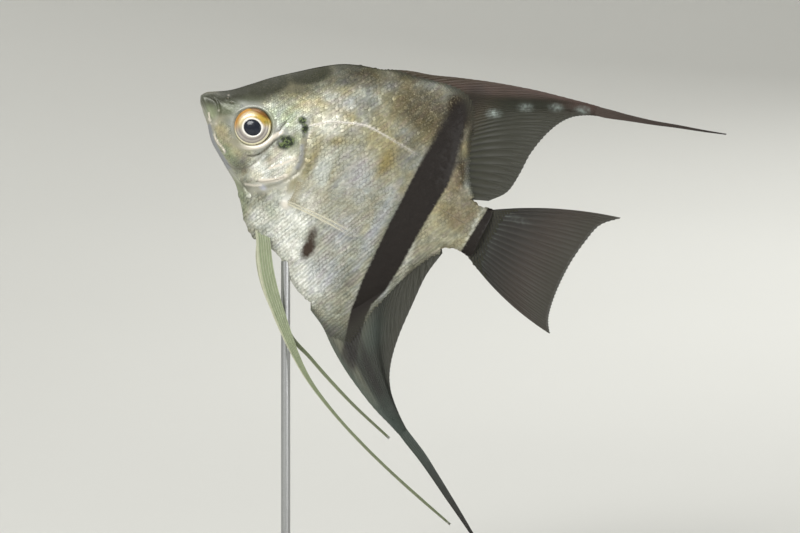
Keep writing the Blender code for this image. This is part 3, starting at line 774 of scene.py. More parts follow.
def isBare(x, z):
    # snout, lips, chin, eye, bony lines and the gill opening carry no scales
    wobble = 0.9 * np.sin(1.9 * x + 1.3 * z) + 0.6 * np.sin(3.1 * z - 0.7 * x)
    found = np.hypot(x - eye["x"], z - eye["z"]) < eye["bare"]
    found |= (x < bare["snout"][0]) & (z > bare["snout"][1])
    found |= (x + wobble < bare["forehead"]) & (z > 1.5 + 0.42 * (x - 8))
    found |= (x + 1.4 * wobble < bare["nape"]) & (overBrow(x, z) > wobble)
    found |= (distanceTo(bare["chin"], x, z)[2] < 0) & (x < bare["chinEnd"])
    for line, width in bare["lines"]:
        found |= distanceTo(line, x, z)[0] < width
    away = distanceTo(head["gillEdge"], x, z)[0]
    for width, high in bare["gills"]:
        found |= (x < bare["gillsEnd"]) & (away < width) & (z < high)
    front, rear, low, high = bare["pectoral"]
    found |= (x > front) & (x < rear) & (z < high) & (z > low)
    found |= np.hypot(x - head["pectoralKnob"][0], z - head["pectoralKnob"][1]) < bare["knob"]
    return found


def headEdge(x, z):
    # the scales grow smaller towards the bare top of the head
    return np.interp(0.7 * np.maximum(0, x - 22) - overBrow(x, z), [-1, 2.6], [0.42, 1])


def scaleShape():
    # a round plate 1 in radius, its crown at height 1 and its underside at -1
    bm = bmesh.new()
    bmesh.ops.create_circle(bm, cap_ends=True, segments=scaleSize["segments"], radius=1)
    inset = {"thickness": scaleSize["inset"], "depth": 0, "use_boundary": True}
    bmesh.ops.inset_region(bm, faces=list(bm.faces), **inset)
    for vert in bm.verts:
        vert.co.z = 1 - vert.co.xy.length**2
    rim = [e for e in bm.edges if e.is_boundary]
    grown = bmesh.ops.extrude_edge_only(bm, edges=rim)["geom"]
    for vert in grown:
        if isinstance(vert, bmesh.types.BMVert):
            vert.co.z = -1
    bmesh.ops.holes_fill(bm, edges=[e for e in bm.edges if e.is_boundary], sides=0)
    bmesh.ops.recalc_face_normals(bm, faces=bm.faces)
    return bm


def readShape(bm):
    # a small shape as arrays, ready to be laid many times
    bm.verts.index_update()
    shape = {
        "points": places(bm),
        "corners": np.array([loop.vert.index for face in bm.faces for loop in face.loops]),
        "counts": np.array([len(face.verts) for face in bm.faces]),
    }
    bm.free()
    return shape


def rootsIn(name, seed):
    # places of a field's scales, in offset rows at even distances over the body's curve
    field = scaleFields[name]
    picks = np.random.default_rng(seed)
    arounds = np.linspace(0, math.pi, 241)
    found = []
    x, column = field["from"], 0
    while x < min(field["to"], scaleSize["last"]):
        runs = runsOf(fleshAt(np.full(arounds.shape, x), arounds))
        runs = np.interp(math.pi / 2, arounds, runs) - runs
        rows = np.arange(math.ceil(runs[-1] / field["row"]), math.floor(runs[0] / field["row"]) + 1)
        rows = rows[(rows + column) % 2 == 0]
        found.append(np.stack([np.full(rows.shape, x), np.interp(-rows * field["row"], -runs, arounds)], -1))
        x += field["pitch"] / 2
        column += 1
    roots = np.vstack(found)
    roots[:, 0] += picks.normal(0, scaleSize["strayAlong"], len(roots)) * field["pitch"]
    roots[:, 1] += picks.normal(0, scaleSize["strayRound"], len(roots))
    x, _, z = fleshAt(roots[:, 0], roots[:, 1]).T
    kept = ~isBare(x, z) & (np.abs(np.cos(roots[:, 1])) < scaleSize["keel"])
    chest, behind = onChest(x, z), behindGills(x, z)
    kept &= {"head": ~behind, "chest": chest, "flank": behind & ~chest}[name]
    return roots[kept], picks


def framed(at, along, out):
    # place, rearward direction square to the normal, sideways direction and normal
    along = unit(along - out * np.sum(along * out, 1, keepdims=True))
    return at, along, np.cross(out, along), out


def framesAt(x, around, lift=0.0, step=0.012, reach=0.15):
    along = skinAt(np.minimum(x + reach, body["ends"][1]), around) - skinAt(x - reach, around)
    across = skinAt(x, np.minimum(around + step, math.pi)) - skinAt(x, np.maximum(around - step, 0))
    out = unit(np.cross(along, across))
    return framed(skinAt(x, around, lift), unit(along) + (0.8, 0, 0), out)


def leaned(frames, picks, amount):
    # the same frames, each turned a little its own way
    at, along, across, out = frames
    backward, sideways = (picks.normal(0, amount, (len(at), 1)) for _ in range(2))
    return framed(at, along, unit(out + along * backward + across * sideways))


def layPlates(name, shape, frames, sizes, roots, extras, sign, heights):
    # one mesh from many copies of a shape, each in its own frame on the skin
    at, along, across, out = (part[:, None] for part in frames)
    count, size = len(at), len(shape["points"])
    local = shape["points"][None]
    forward = (local[..., 0] * sizes["length"][:, None])[..., None]
    sideways = (local[..., 1] * sizes["width"][:, None])[..., None]
    up = heights(local, sizes)[..., None]
    points = (at + along * forward + across * sideways + out * up).reshape(-1, 3)
    points[:, 1] *= sign
    corners = (shape["corners"][None] + (np.arange(count) * size)[:, None]).ravel()
    counts = np.tile(shape["counts"], count)
    starts = np.concatenate([[0], np.cumsum(counts)[:-1]])
    if sign < 0:  # turn each face of the mirrored plates round again
        owner = np.repeat(np.arange(len(counts)), counts)
        corners = corners[(2 * starts + counts)[owner] - 1 - np.arange(len(corners))]
    mesh = bpy.data.meshes.new(name)
    mesh.vertices.add(len(points))
    mesh.loops.add(len(corners))
    mesh.polygons.add(len(counts))
    turn = np.array(toWorld)
    mesh.vertices.foreach_set("co", (points @ turn[:3, :3].T + turn[:3, 3]).astype(np.float32).ravel())
    mesh.loops.foreach_set("vertex_index", corners.astype(np.int32))
    mesh.polygons.foreach_set("loop_start", starts.astype(np.int32))
    mesh.update(calc_edges=True)
    mesh.shade_smooth()
    mesh.set_sharp_from_angle(angle=math.radians(40))
    paint(mesh, points[:, 0], points[:, 2])
    for key, values in extras.items():
        setFloats(mesh, key, np.broadcast_to(values, (count, size)).ravel())
    home = np.stack([(roots[:, 0] + 1) / 87, roots[:, 1] / math.pi * 0.98 + 0.01], -1)
    patch = home[:, None] + local[..., :2] * scaleSize["patch"]
    bake = mesh.uv_layers.new(name="OFBake")
    bake.data.foreach_set("uv", patch.reshape(-1, 2)[corners].astype(np.float32).ravel())
    return mesh


def scaleHeights(local, sizes):
    foot = scaleSize["front"] + (scaleSize["rear"] - scaleSize["front"]) * (local[..., 0] + 1) / 2
    top = np.where(local[..., 2] > -0.5, scaleSize["dome"] * local[..., 2], -scaleSize["thick"])
    return (foot + top) * sizes["tall"][:, None]


sheen = [
    (0.3, (206, 186, 196)), (0.45, (210, 210, 184)), (0.55, (186, 204, 196)), (0.7, (196, 192, 222)),
]


def scaleFinish():
    finish = Finish("silver scales")
    place = finish.fishPlace()
    colour, _, fine = bodyColour(finish, place)
    tone, rim = finish.attribute("tone"), finish.attribute("rim")
    dark = finish.maths("MAXIMUM", finish.attribute("bar"), finish.attribute("eyespot"))
    dark = finish.maths("MAXIMUM", dark, finish.attribute("blotch"))
    leaning = finish.node("ShaderNodeMapping", {}, {"Vector": place, "Rotation": (0, math.radians(66), 0)})
    # painted sheen: streaks of light along the scale rows and a finer painted shimmer of glints, over each
    # scale's own tone
    streaks = finish.noise(finish.stretched(leaning, 0.22, 1, 1), 1.1)
    shimmer = finish.noise(finish.stretched(leaning, 0.45, 1, 1), 0.62, 2.0, 0.6)
    light = finish.span(tone, 0.1, 0.9, 0.8, 1.24) * finish.span(streaks, 0.4, 0.66, 0.95, 1.12)
    light = light * finish.span(shimmer, 0.3, 0.7, 0.84, 1.18)
    wave = {"Vector": leaning, "Scale": 0.36, "Distortion": 3.2, "Detail": 2.0, "Detail Scale": 1.0}
    rows = finish.node("ShaderNodeTexWave", {"bands_direction": "Z"}, wave, "Fac")
    x, _, z = finish.parts(place)
    lower = finish.maths("MAXIMUM", finish.span(x, 36, 45), finish.span(z, -15, -20, 0, 0.8))
    lower = lower * finish.span(z, 0, -16)  # broad rows of painted highlight and shade low on the flank and chest
    light = light * (1 + lower * finish.span(rows, 0.15, 0.85, -0.14, 0.14))
    colour = finish.mix(1 - dark, colour, light, "MULTIPLY")
    patchy = finish.span(finish.noise(place, 4.0), 0.38, 0.62, 0.15, 1.0)
    edge = finish.span(rim, 0.05, 0.85) * finish.attribute("rimDepth") * patchy
    colour = finish.mix(edge * (0.9 - 0.65 * dark), colour, finish.mix(0.75, colour, toLinear(46, 44, 32)))
    colour = finish.mix(finish.attribute("fade"), colour, toLinear(50, 49, 40))
    hue = finish.noise(finish.stretched(leaning, 0.3, 1, 1), 1.8)
    tint = finish.ramp(hue, [(at, toLinear(*c)) for at, c in sheen])
    colour = finish.mix(0.3 * (1 - dark), colour, tint, "SOFT_LIGHT")
    lines = finish.noise(finish.stretched(place, 1, 1, 6), 0.25)
    finish.close(
        Base_Color=colour,
        Metallic=0.26 + 0.3 * tone * (1 - dark),
        Roughness=0.48 - 0.14 * tone + 0.14 * dark,
        Specular_IOR_Level=0.4,
        Coat_Weight=0.15,
        Coat_Roughness=0.26,
        Normal=finish.bump(lines + fine, 0.00002, 0.6),
    )
    return finish


def rimOf(points):
    # 1 along a scale's rear edge, less along its front one
    return ease(0.7, 0.95, np.hypot(points[:, 0], points[:, 1])) * np.clip(0.7 + 0.5 * points[:, 0], 0, 1)


scaleCoat = {"finish": scaleFinish(), "shape": readShape(scaleShape())}
scaleCoat["rim"] = rimOf(scaleCoat["shape"]["points"])


def makeScales():
    uneven = scaleSize["uneven"]
    for side, sign in sides.items():
        for number, (key, field) in enumerate(scaleFields.items()):
            roots, picks = rootsIn(key, 10 * number + (sign < 0))
            frames = leaned(framesAt(roots[:, 0], roots[:, 1]), picks, field["lean"])
            count = len(roots)
            edge = np.interp(np.abs(np.cos(roots[:, 1])), [0.9, 0.99], [1, 0.72])
            edge *= headEdge(roots[:, 0], frames[0][:, 2])
            low = min(1, field["pitch"] / scaleSize["fullPitch"])
            sizes = {
                "length": field["pitch"] * scaleSize["length"] * picks.normal(1, uneven, count) * edge,
                "width": field["row"] * scaleSize["width"] * picks.normal(1, uneven, count) * edge,
                "tall": picks.normal(1, scaleSize["unevenHeight"], count) * edge * low,
            }
            tone = np.clip(picks.normal(0.5, field["vary"], count), 0.2, 0.85)[:, None]
            extras = {"tone": tone, "rim": scaleCoat["rim"][None], "rimDepth": field["rim"]}
            name = f"scales_{key}_{side}"
            mesh = layPlates(name, scaleCoat["shape"], frames, sizes, roots, extras, sign, scaleHeights)
            keep(name, mesh, scaleCoat["finish"])
            print(name, count, "scales")


makeScales()

# ---- lateral line: a row of small pored tubes on the scales

tubes = {"pitch": 1.0, "half": 0.45, "radius": 0.12, "lift": 0.14}


def tubeShape():
    bm = bmesh.new()
    bmesh.ops.create_cone(bm, cap_ends=True, segments=8, radius1=1, radius2=1, depth=2)
    bmesh.ops.rotate(bm, verts=bm.verts, cent=(0, 0, 0), matrix=Matrix.Rotation(math.pi / 2, 3, "Y"))
    for face in [f for f in bm.faces if len(f.verts) == 8]:
        bmesh.ops.inset_region(bm, faces=[face], thickness=0.35, depth=-0.3)
    return bm


def tubeHeights(local, sizes):
    return local[..., 2] * sizes["tall"][:, None]


def courseFrames(roots):
    # frames that follow a line of roots instead of the body
    at, _, _, out = framesAt(roots[:, 0], roots[:, 1], tubes["lift"])
    return framed(at, np.gradient(at, axis=0), out)


def makeLateralLine():
    finish = Finish("lateral line")
    place = finish.fishPlace()
    colour, _, fine = bodyColour(finish, place)
    paler = finish.span(finish.parts(place)[0], 56, 36, 0.06, 0.95)
    finish.close(
        Base_Color=finish.mix(paler, colour, toLinear(238, 233, 226)),
        Metallic=0.2,
        Roughness=0.35,
        Normal=finish.bump(fine, 0.00001, 0.5),
    )
    shape = readShape(tubeShape())
    roots = []
    for points in lateralLine.values():
        line = smoothCurve(points, 12)
        runs = runsOf(line)
        at = np.arange(0.4, runs[-1], tubes["pitch"])
        x, z = np.interp(at, runs, line[:, 0]), np.interp(at, runs, line[:, 1])
        high = np.where(z > 0, read(backCurve, x), -read(bellyCurve, x))
        roots.append(np.stack([x, np.arccos(z / high)], -1))
    frames = [np.vstack(parts) for parts in zip(*(courseFrames(line) for line in roots))]
    count = len(frames[0])
    halves = {"length": tubes["half"], "width": tubes["radius"], "tall": tubes["radius"]}
    sizes = {key: np.full(count, half) for key, half in halves.items()}
    for side, sign in sides.items():
        name = f"lateral_line_{side}"
        mesh = layPlates(name, shape, frames, sizes, np.vstack(roots), {}, sign, tubeHeights)
        keep(name, mesh, finish)
    print("lateral line:", count, "tubes a side")


makeLateralLine()

# ---- eyes

iris = {
    "pupil": (2.46, 2.16),  # half width and half height
    "at": (0.5, -0.34),  # the pupil's middle, back and up of the eye's
    "lens": 0.62, "sunk": 0.72,
    "span": 12.0,  # width of the eye's own map
    "edge": 2.4,  # where the pupil ends among the rings
    "rings": [
        (0, "pupil"), (2.34, "pupil"), (2.46, "white"), (2.78, "white"), (3.05, "silver"), (3.6, "dusk"),
        (4.1, "silver"), (4.5, "dusk"), (4.68, "cream"), (4.92, "cream"), (5.08, "olive"),
    ],
    "outermost": 6,
}
irisColours = {
    "pupil": (16, 18, 22), "white": (244, 240, 232), "silver": (190, 184, 172), "dusk": (132, 124, 122),
    "cream": (238, 232, 200), "olive": (96, 88, 52), "paleGold": (226, 208, 150), "gold": (206, 140, 22),
    "yellow": (196, 160, 28), "moss": (126, 122, 18), "paintedGlint": (214, 202, 190), "lid": (122, 74, 16),
    "shadedTopEdge": (52, 36, 16), "ash": (150, 138, 134),
}


def irisFinish():
    # rings round the pupil, which lies a little behind and below the eye's middle, then rings round the eye
    finish = Finish("iris")
    tones = {name: toLinear(*c) for name, c in irisColours.items()}
    back, up, _ = finish.parts(finish.uv("Iris"))
    back, up = (back - 0.5) * iris["span"], (up - 0.5) * iris["span"]
    flat = finish.flat(back, up)
    away = finish.length(flat)
    wide, high = (iris["edge"] / half for half in iris["pupil"])
    inner = finish.length(finish.flat((back - iris["at"][0]) * wide, (up - iris["at"][1]) * high))
    streaks = finish.noise(flat, 0.5, 3.0, 0.6)
    radius = inner + (away - inner) * finish.span(away, 2.6, 4.4) + 0.14 * (streaks - 0.5)
    stops = [(r / iris["outermost"], tones[name]) for r, name in iris["rings"]]
    colour = finish.ramp(radius / iris["outermost"], stops)
    outside = finish.span(inner, 2.5, 3.1)
    ahead = finish.span((up * 0.75 - back) / away, 0.05, 0.95) * outside * finish.span(away, 5.15, 4.9)
    gold = finish.mix(finish.span(away, 3.1, 4.5), tones["paleGold"], tones["gold"])
    colour = finish.mix(0.85 * ahead, colour, gold)
    above = finish.span((up + 0.25 * back) / away, 0.45, 0.95) * finish.span(inner, 2.7, 3.3)
    colour = finish.mix(0.85 * above, colour, tones["yellow"])
    patch = finish.span(finish.noise(flat, 1.6, 1.0), 0.5, 0.6)
    colour = finish.mix(0.7 * above * patch, colour, tones["moss"])
    # painted highlight: pale over the upper front of the iris
    paintedGlint = finish.span((up - back) / away, 0.7, 1.3) * outside * finish.span(away, 4.2, 3.8)
    colour = finish.mix(0.4 * paintedGlint, colour, tones["paintedGlint"])
    # painted shade: darker brown along the top of the iris, darkest at its rim, under the socket's edge
    lid = finish.mix(finish.span(away, 4.4, 5.0), tones["lid"], tones["shadedTopEdge"])
    colour = finish.mix(0.92 * finish.span(up + 0.05 * back, 3.3, 4.1), colour, lid)
    below = finish.span((up * -1 + back * 0.6) / away, 0.3, 1.0) * outside * finish.span(away, 4.5, 4.2)
    colour = finish.mix(0.45 * below * finish.span(streaks, 0.35, 0.65), colour, tones["ash"])
    finish.close(
        Base_Color=colour,
        Metallic=finish.span(inner, 2.4, 3.2, 0.0, 0.25),
        Roughness=finish.span(inner, 2.4, 2.8, 0.08, 0.36),
        Coat_Weight=0.4,
        Coat_Roughness=0.06,
        Normal=finish.bump(finish.noise(flat, 0.22, 3.0), 0.00003, 0.5),
    )
    return finish


def lensFinish():
    finish = Finish("lens")
    haze = finish.noise(finish.fishPlace(), 2.0)
    finish.close(
        Base_Color=finish.mix(haze, toLinear(16, 18, 26), toLinear(40, 45, 58)),
        Roughness=0.2,
        Specular_IOR_Level=0.25,
        Coat_Weight=0.5,
        Coat_Roughness=0.05,
        Coat_IOR=1.34,
    )
    return finish


def inEyePlace(points, sign):
    # from the eye's own axes (back, up, out) to the fish's
    back, up, out = points.T
    c, s = math.cos(eye["turn"]), math.sin(eye["turn"])
    x = eye["x"] + back * c - out * s
    y = eye["out"] + back * s + out * c
    return np.stack([x, sign * y, eye["z"] + up], -1)


def eyePart(name, shapeOf, sign, rings, *keeping):
    # a ball, shaped in the eye's own axes and set into the head
    bm = bmesh.new()
    bmesh.ops.create_uvsphere(bm, u_segments=rings[0], v_segments=rings[1], radius=1)
    ball = places(bm)
    moveTo(bm, inEyePlace(shapeOf(ball), sign))
    bmesh.ops.recalc_face_normals(bm, faces=bm.faces)
    return pieceFrom(name, bm, *keeping), ball


def eyeballShape(ball):
    # flattened, with a raised ring round the pupil, a groove near the edge and a well for the lens
    flat = ball[:, :2] * eye["radius"]
    away = np.linalg.norm(flat, axis=1)
    inner = iris["edge"] * np.linalg.norm((flat - iris["at"]) / iris["pupil"], axis=1)
    bulge = 0.09 * hump(inner, 0.26, 2.66) - 0.1 * hump(away, 0.14, 4.5)
    bulge -= 0.08 * hump(inner, 0.35, 3.4) + 0.25 * ease(2.58, 2.3, inner)
    out = ball[:, 2] * eye["halfDepth"]
    out = np.where(out > 0, out * 0.97 + bulge - 0.06, out)
    return np.stack([*flat.T, out], -1)


def lensShape(ball):
    local = ball * (*iris["pupil"], iris["lens"]) + (*iris["at"], eye["halfDepth"] * 0.97 - iris["sunk"])
    local[:, 2] -= eye["halfDepth"] / eye["radius"] ** 2 * (ball[:, :2] * iris["pupil"] @ iris["at"])
    return local


def makeEyes():
    ringed, glass = irisFinish(), lensFinish()
    for side, sign in sides.items():
        replaced = (f"eye_{side}",)
        piece, ball = eyePart(f"eyeball_{side}", eyeballShape, sign, (96, 72), ringed, "eye", replaced)
        mesh = piece.data
        corners = np.zeros(len(mesh.loops), np.int32)
        mesh.loops.foreach_get("vertex_index", corners)
        flat = ball[:, :2] * eye["radius"] / iris["span"] + 0.5  # the map of the rings: back and up
        mesh.uv_layers.new(name="Iris").data.foreach_set("uv", flat[corners].astype(np.float32).ravel())
        eyePart(f"pupil_{side}", lensShape, sign, (48, 32), glass, "eye")
    print("eyes made")


makeEyes()

# ---- fins: thin sheets with branching rays in relief

finShape = {
    "gap": 0.9,  # how far a fin's root goes into the body
    "membrane": 0.075, "rayRoot": 0.26, "rayTip": 0.09,  # half thicknesses
    "sweepFrom": 84.0, "sweep": 0.0016,  # the fins' bend to the fish's right
    "columns": 8,  # from ray to ray
    "streamer": (0.16, 0.1, 0.06),  # its half thicknesses
}
dorsal = {
    "rays": [
        (37, 38.2, 27.3), (42, 46.2, 30.9), (46, 53, 32.9), (50, 60.5, 35.7), (54, 69.5, 38.7),
        (57.5, 79.5, 41.5), (60, 90, 43.8), (61.5, 97.8, 45.3), (62.8, 98.2, 44.6), (64, 98.5, 43.8),
        (65.1, 98.6, 43), (66.2, 95.3, 41.6), (67.2, 91.8, 39.3), (68.1, 89.2, 35.8), (69, 87.3, 31),
        (70.2, 86.1, 25.3), (71.6, 85.9, 19), (73.6, 85, 13.4), (77, 81.6, 9.1),
    ],
    "bow": 0.07, "count": 40,
    "streamer": [
        (92.5, 43.8, 94.6, 42.2), (98.9, 45.5, 99.3, 43), (105, 46.7, 105.4, 45), (112, 48.4, 112.4, 47.3),
        (119, 50.5, 119.3, 49.7), (126, 52.5, 126.2, 52), (131.4, 54.2, 131.5, 53.9),
    ],
}
anal = {
    "rays": [
        (50, 51.5, -38.7), (52, 56.4, -41.3), (54, 61.3, -45.2), (56, 68, -49.6), (57.8, 77.6, -54.5),
        (59.4, 84.6, -57.1), (60.9, 88.2, -58.4), (62.2, 88.5, -57.6), (63.5, 88.8, -56.8),
        (64.8, 88.8, -55.9), (66.1, 86.2, -53.9), (67.2, 83.2, -51.3), (68.2, 80.5, -48.4),
        (69.2, 78.3, -44.6), (70.3, 76.8, -39.6), (71.4, 75.9, -33.3), (72.5, 75.5, -25),
        (73.8, 75.3, -16.5), (76, 76.6, -9.1),
    ],
    "bow": -0.09, "count": 36,
    "streamer": [
        (83.2, -55.4, 84.8, -53.6), (88.7, -58.7, 89.7, -56.3), (95, -61.7, 96.1, -59.5),
        (100.4, -64.6, 101.3, -62.7), (106.2, -67.9, 107, -66.3), (112, -71.1, 112.6, -69.9),
        (117, -73.9, 117.4, -73.1), (121.3, -76.3, 121.5, -75.9),
    ],
}
tail = {
    "rays": [
        (7.2, 116, 21), (6, 111.6, 16.6), (4.2, 110, 11), (1.8, 109, 4.6), (-0.6, 108.8, -0.6),
        (-2.8, 109, -5.4), (-4.6, 109.6, -9.8), (-6, 110.6, -13), (-6.9, 112.5, -15.8),
    ],
    "rootX": 83.2, "count": 18,
}
pelvic = {
    "left": [
        (28.2, -25.4, 32.4, -25.0), (29.6, -27.4, 33.9, -27.2), (32.8, -33, 37.5, -32.7),
        (37.2, -38.8, 41.9, -38.1), (44.4, -45.4, 47.7, -44.2), (52, -51.4, 53.8, -50.2),
        (60, -56.5, 60.7, -55.5), (70, -61.2, 70.4, -60.4), (80, -65, 80.3, -64.2), (90, -68.2, 90.2, -67.4),
        (100, -71, 100.2, -70.2), (110.5, -73.6, 110.6, -73),
    ],
    "right": [
        (28.2, -25.4, 31.8, -25.0), (29.6, -27.4, 33.2, -27.2), (31.9, -32.8, 36, -32),
        (36.2, -38.5, 40, -37.3), (42.4, -44, 45, -42.6), (49, -48.2, 50.2, -47.1), (56, -50.6, 56.5, -49.7),
        (64, -53.9, 64.4, -53), (74, -57.5, 74.3, -56.7), (86, -61, 86.2, -60.3),
    ],
    "rootY": 1.75, "splay": 0.11, "count": 6, "halves": (0.1, 0.24, 0.12),
    "about": (31, -28), "far": 30,  # it splays with the way from here, less so further down
}
pectoral = {
    "rays": [
        (-9.2, 49.5, -3.4), (-10.6, 53.8, -5), (-12.2, 56.2, -8.6), (-13.8, 56.6, -12.2), (-15.1, 55.2, -15),
        (-16, 52.6, -16.4),
    ],
    "rootX": 33.2, "slope": 0.16, "lift": 0.85, "sunk": 0.3, "curl": 0.5,
    "count": 12, "halves": (0.04, 0.13, 0.04),
}


def sweepAt(x):
    return finShape["sweep"] * np.maximum(0, x - finShape["sweepFrom"]) ** 2


def rootPoint(curve, x, lift):
    step = 0.4
    slope = Vector((2 * step, read(curve, x + step) - read(curve, x - step))).normalized()
    upward = 1 if curve is backCurve else -1
    return (x - slope.y * lift * upward, float(read(curve, x)) + slope.x * lift * upward)


def fanAt(starts, tips, bowAt, fine=6):
    # places on a fan of rays, each bent aside on its way by a share of its length
    starts, tips = smoothCurve(starts, fine), smoothCurve(tips, fine)
    rows = np.linspace(0, 1, len(starts))

    def at(u, v):
        start = np.stack([np.interp(u, rows, starts[:, k]) for k in (0, 1)], -1)
        tip = np.stack([np.interp(u, rows, tips[:, k]) for k in (0, 1)], -1)
        across = np.stack([start[..., 1] - tip[..., 1], tip[..., 0] - start[..., 0]], -1)
        bent = (bowAt(u) * 4 * v * (1 - v))[..., None]
        return start + (tip - start) * v[..., None] + across * bent

    return at


def ribbonAt(lines, fine=6):
    # places on a ribbon between a front and a rear edge, u across and v along
    edges = smoothCurve(lines, fine)
    runs = runsOf(edges[:, :2])
    rows = runs / runs[-1]

    def at(u, v):
        front = np.stack([np.interp(v, rows, edges[:, k]) for k in (0, 1)], -1)
        rear = np.stack([np.interp(v, rows, edges[:, k]) for k in (2, 3)], -1)
        return front + (rear - front) * u[..., None]

    return at


def finSheet(placeAt, depthAt, count, rows, notch=0.02, branch=0.45, halves=None, taper=None):
    # a closed sheet; the columns between two rays follow the rays as they fork
    thin, thick, thickTip = halves or (finShape["membrane"], finShape["rayRoot"], finShape["rayTip"])
    columns = finShape["columns"]
    bm = bmesh.new()
    bmesh.ops.create_grid(bm, x_segments=columns * count, y_segments=rows, size=0.5)
    flat = len(bm.verts)
    bmesh.ops.extrude_face_region(bm, geom=list(bm.faces))
    bm.verts.index_update()
    grid = places(bm)
    side = np.where(np.arange(len(grid)) < flat, -1.0, 1.0)
    column = np.round((grid[:, 0] + 0.5) * columns * count).astype(int)
    v = grid[:, 1] + 0.5
    ray, step = column // columns, column % columns
    none, full = 0 * v, 1 + 0 * v
    forked = ease(branch, 1, v)
    fork = 0.06 + 0.2 * forked  # how far each branch lies from its ray's line
    inner, outer = np.maximum(fork - 0.08, 0.02), fork + 0.1
    offset = np.choose(step, [none, inner, fork, outer, 0.5 * full, 1 - outer, 1 - fork, 1 - inner])
    valley = 1 - 0.9 * ease(branch, branch + 0.25, v)
    shoulder = 0.9 - 0.35 * forked
    crest = np.choose(step, [valley, shoulder, full, 0.4 * full, none, 0.4 * full, full, shoulder])
    u = (ray + offset) / count
    spots = placeAt(u, v * (1 - notch * (1 - crest) * ease(0.6, 1, v)))
    x, z = spots[:, 0], spots[:, 1]
    half = thin + (thick + (thickTip - thick) * v) * crest
    half = half * np.minimum(1, np.minimum(u, 1 - u) * count + 0.5)  # thinner along front and rear edge
    if taper is not None:
        half = half * taper(v)
    moveTo(bm, np.stack([x, depthAt(x, z, u, v) + side * half, z], -1))
    bmesh.ops.recalc_face_normals(bm, faces=bm.faces)
    return bm, {"x": x, "z": z, "u": u, "v": v, "ray": crest, "across": u * count}


finMarks = {
    "ruddy": (82, 64, 57),  # purple-brown along the upper margin
    "backTone": (66, 55, 36),  # as the back, where the dorsal fin rises from it
    "sheath": (128, 128, 110),  # as the scales, at the fins' roots
    "sheen": (74, 90, 82),  # blue-green light
    "glint": (172, 184, 178),  # pale spots
    "lead": (216, 212, 190),  # the pectoral's stout lower ray
    "finBar": (26, 21, 18),  # the body's bars, carried on
    "clear": (46, 46, 34),  # thin parts
}
dorsalSpots = [(72.4, 30.8), (79.4, 36), (86.7, 39.6), (93.5, 42.2)]
analLead = [(57, -39.4), (64.1, -44.4), (72.9, -50.6), (80, -55)]
analStreak = [(62, -35), (65.4, -38.6), (69, -42.2), (73.2, -46.4), (80, -51.6)]


def dorsalMarks(x, z, u, v, ray):
    glints = [spot(x, z, at, (3, 1.8), 0.0, 24) for at in dorsalSpots]
    return {
        "ruddy": np.maximum(0.9 * ease(0.5, 0.25, u), ease(0.55, 0.9, v) * ease(0.75, 0.45, u)),
        "backTone": ease(0.3, 0.08, u) + ease(0.35, 0.02, v) * ease(0.9, 0.5, u),
        "glint": np.maximum.reduce(glints),
        "finBar": 0.9 * barMask(x, z) + 0.5 * ease(1.0, 0.3, v) * spot(x, z, (66, 33), (5, 6), 0.2),
        "clear": ease(0.4, 0.8, u) * ease(0.1, 0.5, v),
    }


def analMarks(x, z, u, v, ray):
    root = ease(0.4, 0.06, v) * ease(0.6, 0.25, u) + 0.7 * ease(0.3, 0.02, u)
    lead = band(x, z, analLead, 3.4) * np.interp(x, [58, 66, 80], [0.8, 0.6, 0.3])
    light = 0.3 * spot(x, z, (70, -36), (6, 12), 0.1, -20)
    return {
        "sheath": np.maximum(root, lead),
        "sheen": 0.5 * ease(0.5, 1, v) * ease(0.6, 0.35, u) + light,
        "finBar": np.maximum(barMask(x, z) * ease(0.95, 0.5, v), 0.6 * band(x, z, analStreak, 2.6)),
        "clear": ease(0.55, 0.85, u),
    }


def tailMarks(x, z, u, v, ray):
    dusk = 0.75 * (1 - ray) * ease(99, 90, x) * ease(85, 88, x)
    return {
        "ruddy": 0.35 * ease(0.1, 0.8, v),
        "glint": 0.14 * ease(90, 86.5, x) * ray + 0.2 * spot(x, z, (90, 8), (6, 1.6), 0.1, 6),
        "finBar": np.maximum(ease(86, 85.4, x - bars["slant"] * z), dusk),
        "clear": 0.7 * ease(0.5, 1, v),
    }


def pectoralMarks(x, z, u, v, ray):
    # all but its lower rays and its root is clear
    lines = np.maximum(ease(0.87, 0.92, u), 0.85 * hump(u, 0.03, 0.79))
    solid = [0.8 * lines * ease(0.98, 0.45, v), 0.3 * ease(0.14, 0.02, v), 0.08 * ease(0.9, 1, v)]
    return {"lead": ease(0.7, 0.8, u), "solid": np.maximum.reduce(solid)}


finPaint = {
    "dorsal": dorsalMarks, "anal": analMarks, "tail": tailMarks, "pectoral": pectoralMarks,
    "dorsalStreamer": lambda x, z, u, v, ray: {"ruddy": 0.7 + 0 * v, "finBar": 0.2 + 0.5 * v},
    "analStreamer": lambda x, z, u, v, ray: {"sheen": 0.6 * ease(0.8, 0.2, v), "finBar": 0.25 + 0.4 * v},
    "pelvic": lambda x, z, u, v, ray: {"lead": 0.5 * ease(0.22, 0.08, u), "clear": 0.16 * ease(0.3, 1, v)},
}


def paintFin(mesh, laid, kind):
    found = finPaint[kind](*(laid[key] for key in ("x", "z", "u", "v", "ray")))
    for name in [*finMarks, "solid"]:
        setFloats(mesh, name, np.clip(found.get(name, 0 * laid["x"]), 0, 1))
    for name, key in (("ray", "ray"), ("across", "across"), ("along", "v")):
        setFloats(mesh, name, laid[key])


def finPiece(name, sheet, kind, finish, replaced):
    bm, laid = sheet
    piece = pieceFrom(name, bm, finish, "fin", replaced)
    paintFin(piece.data, laid, kind)


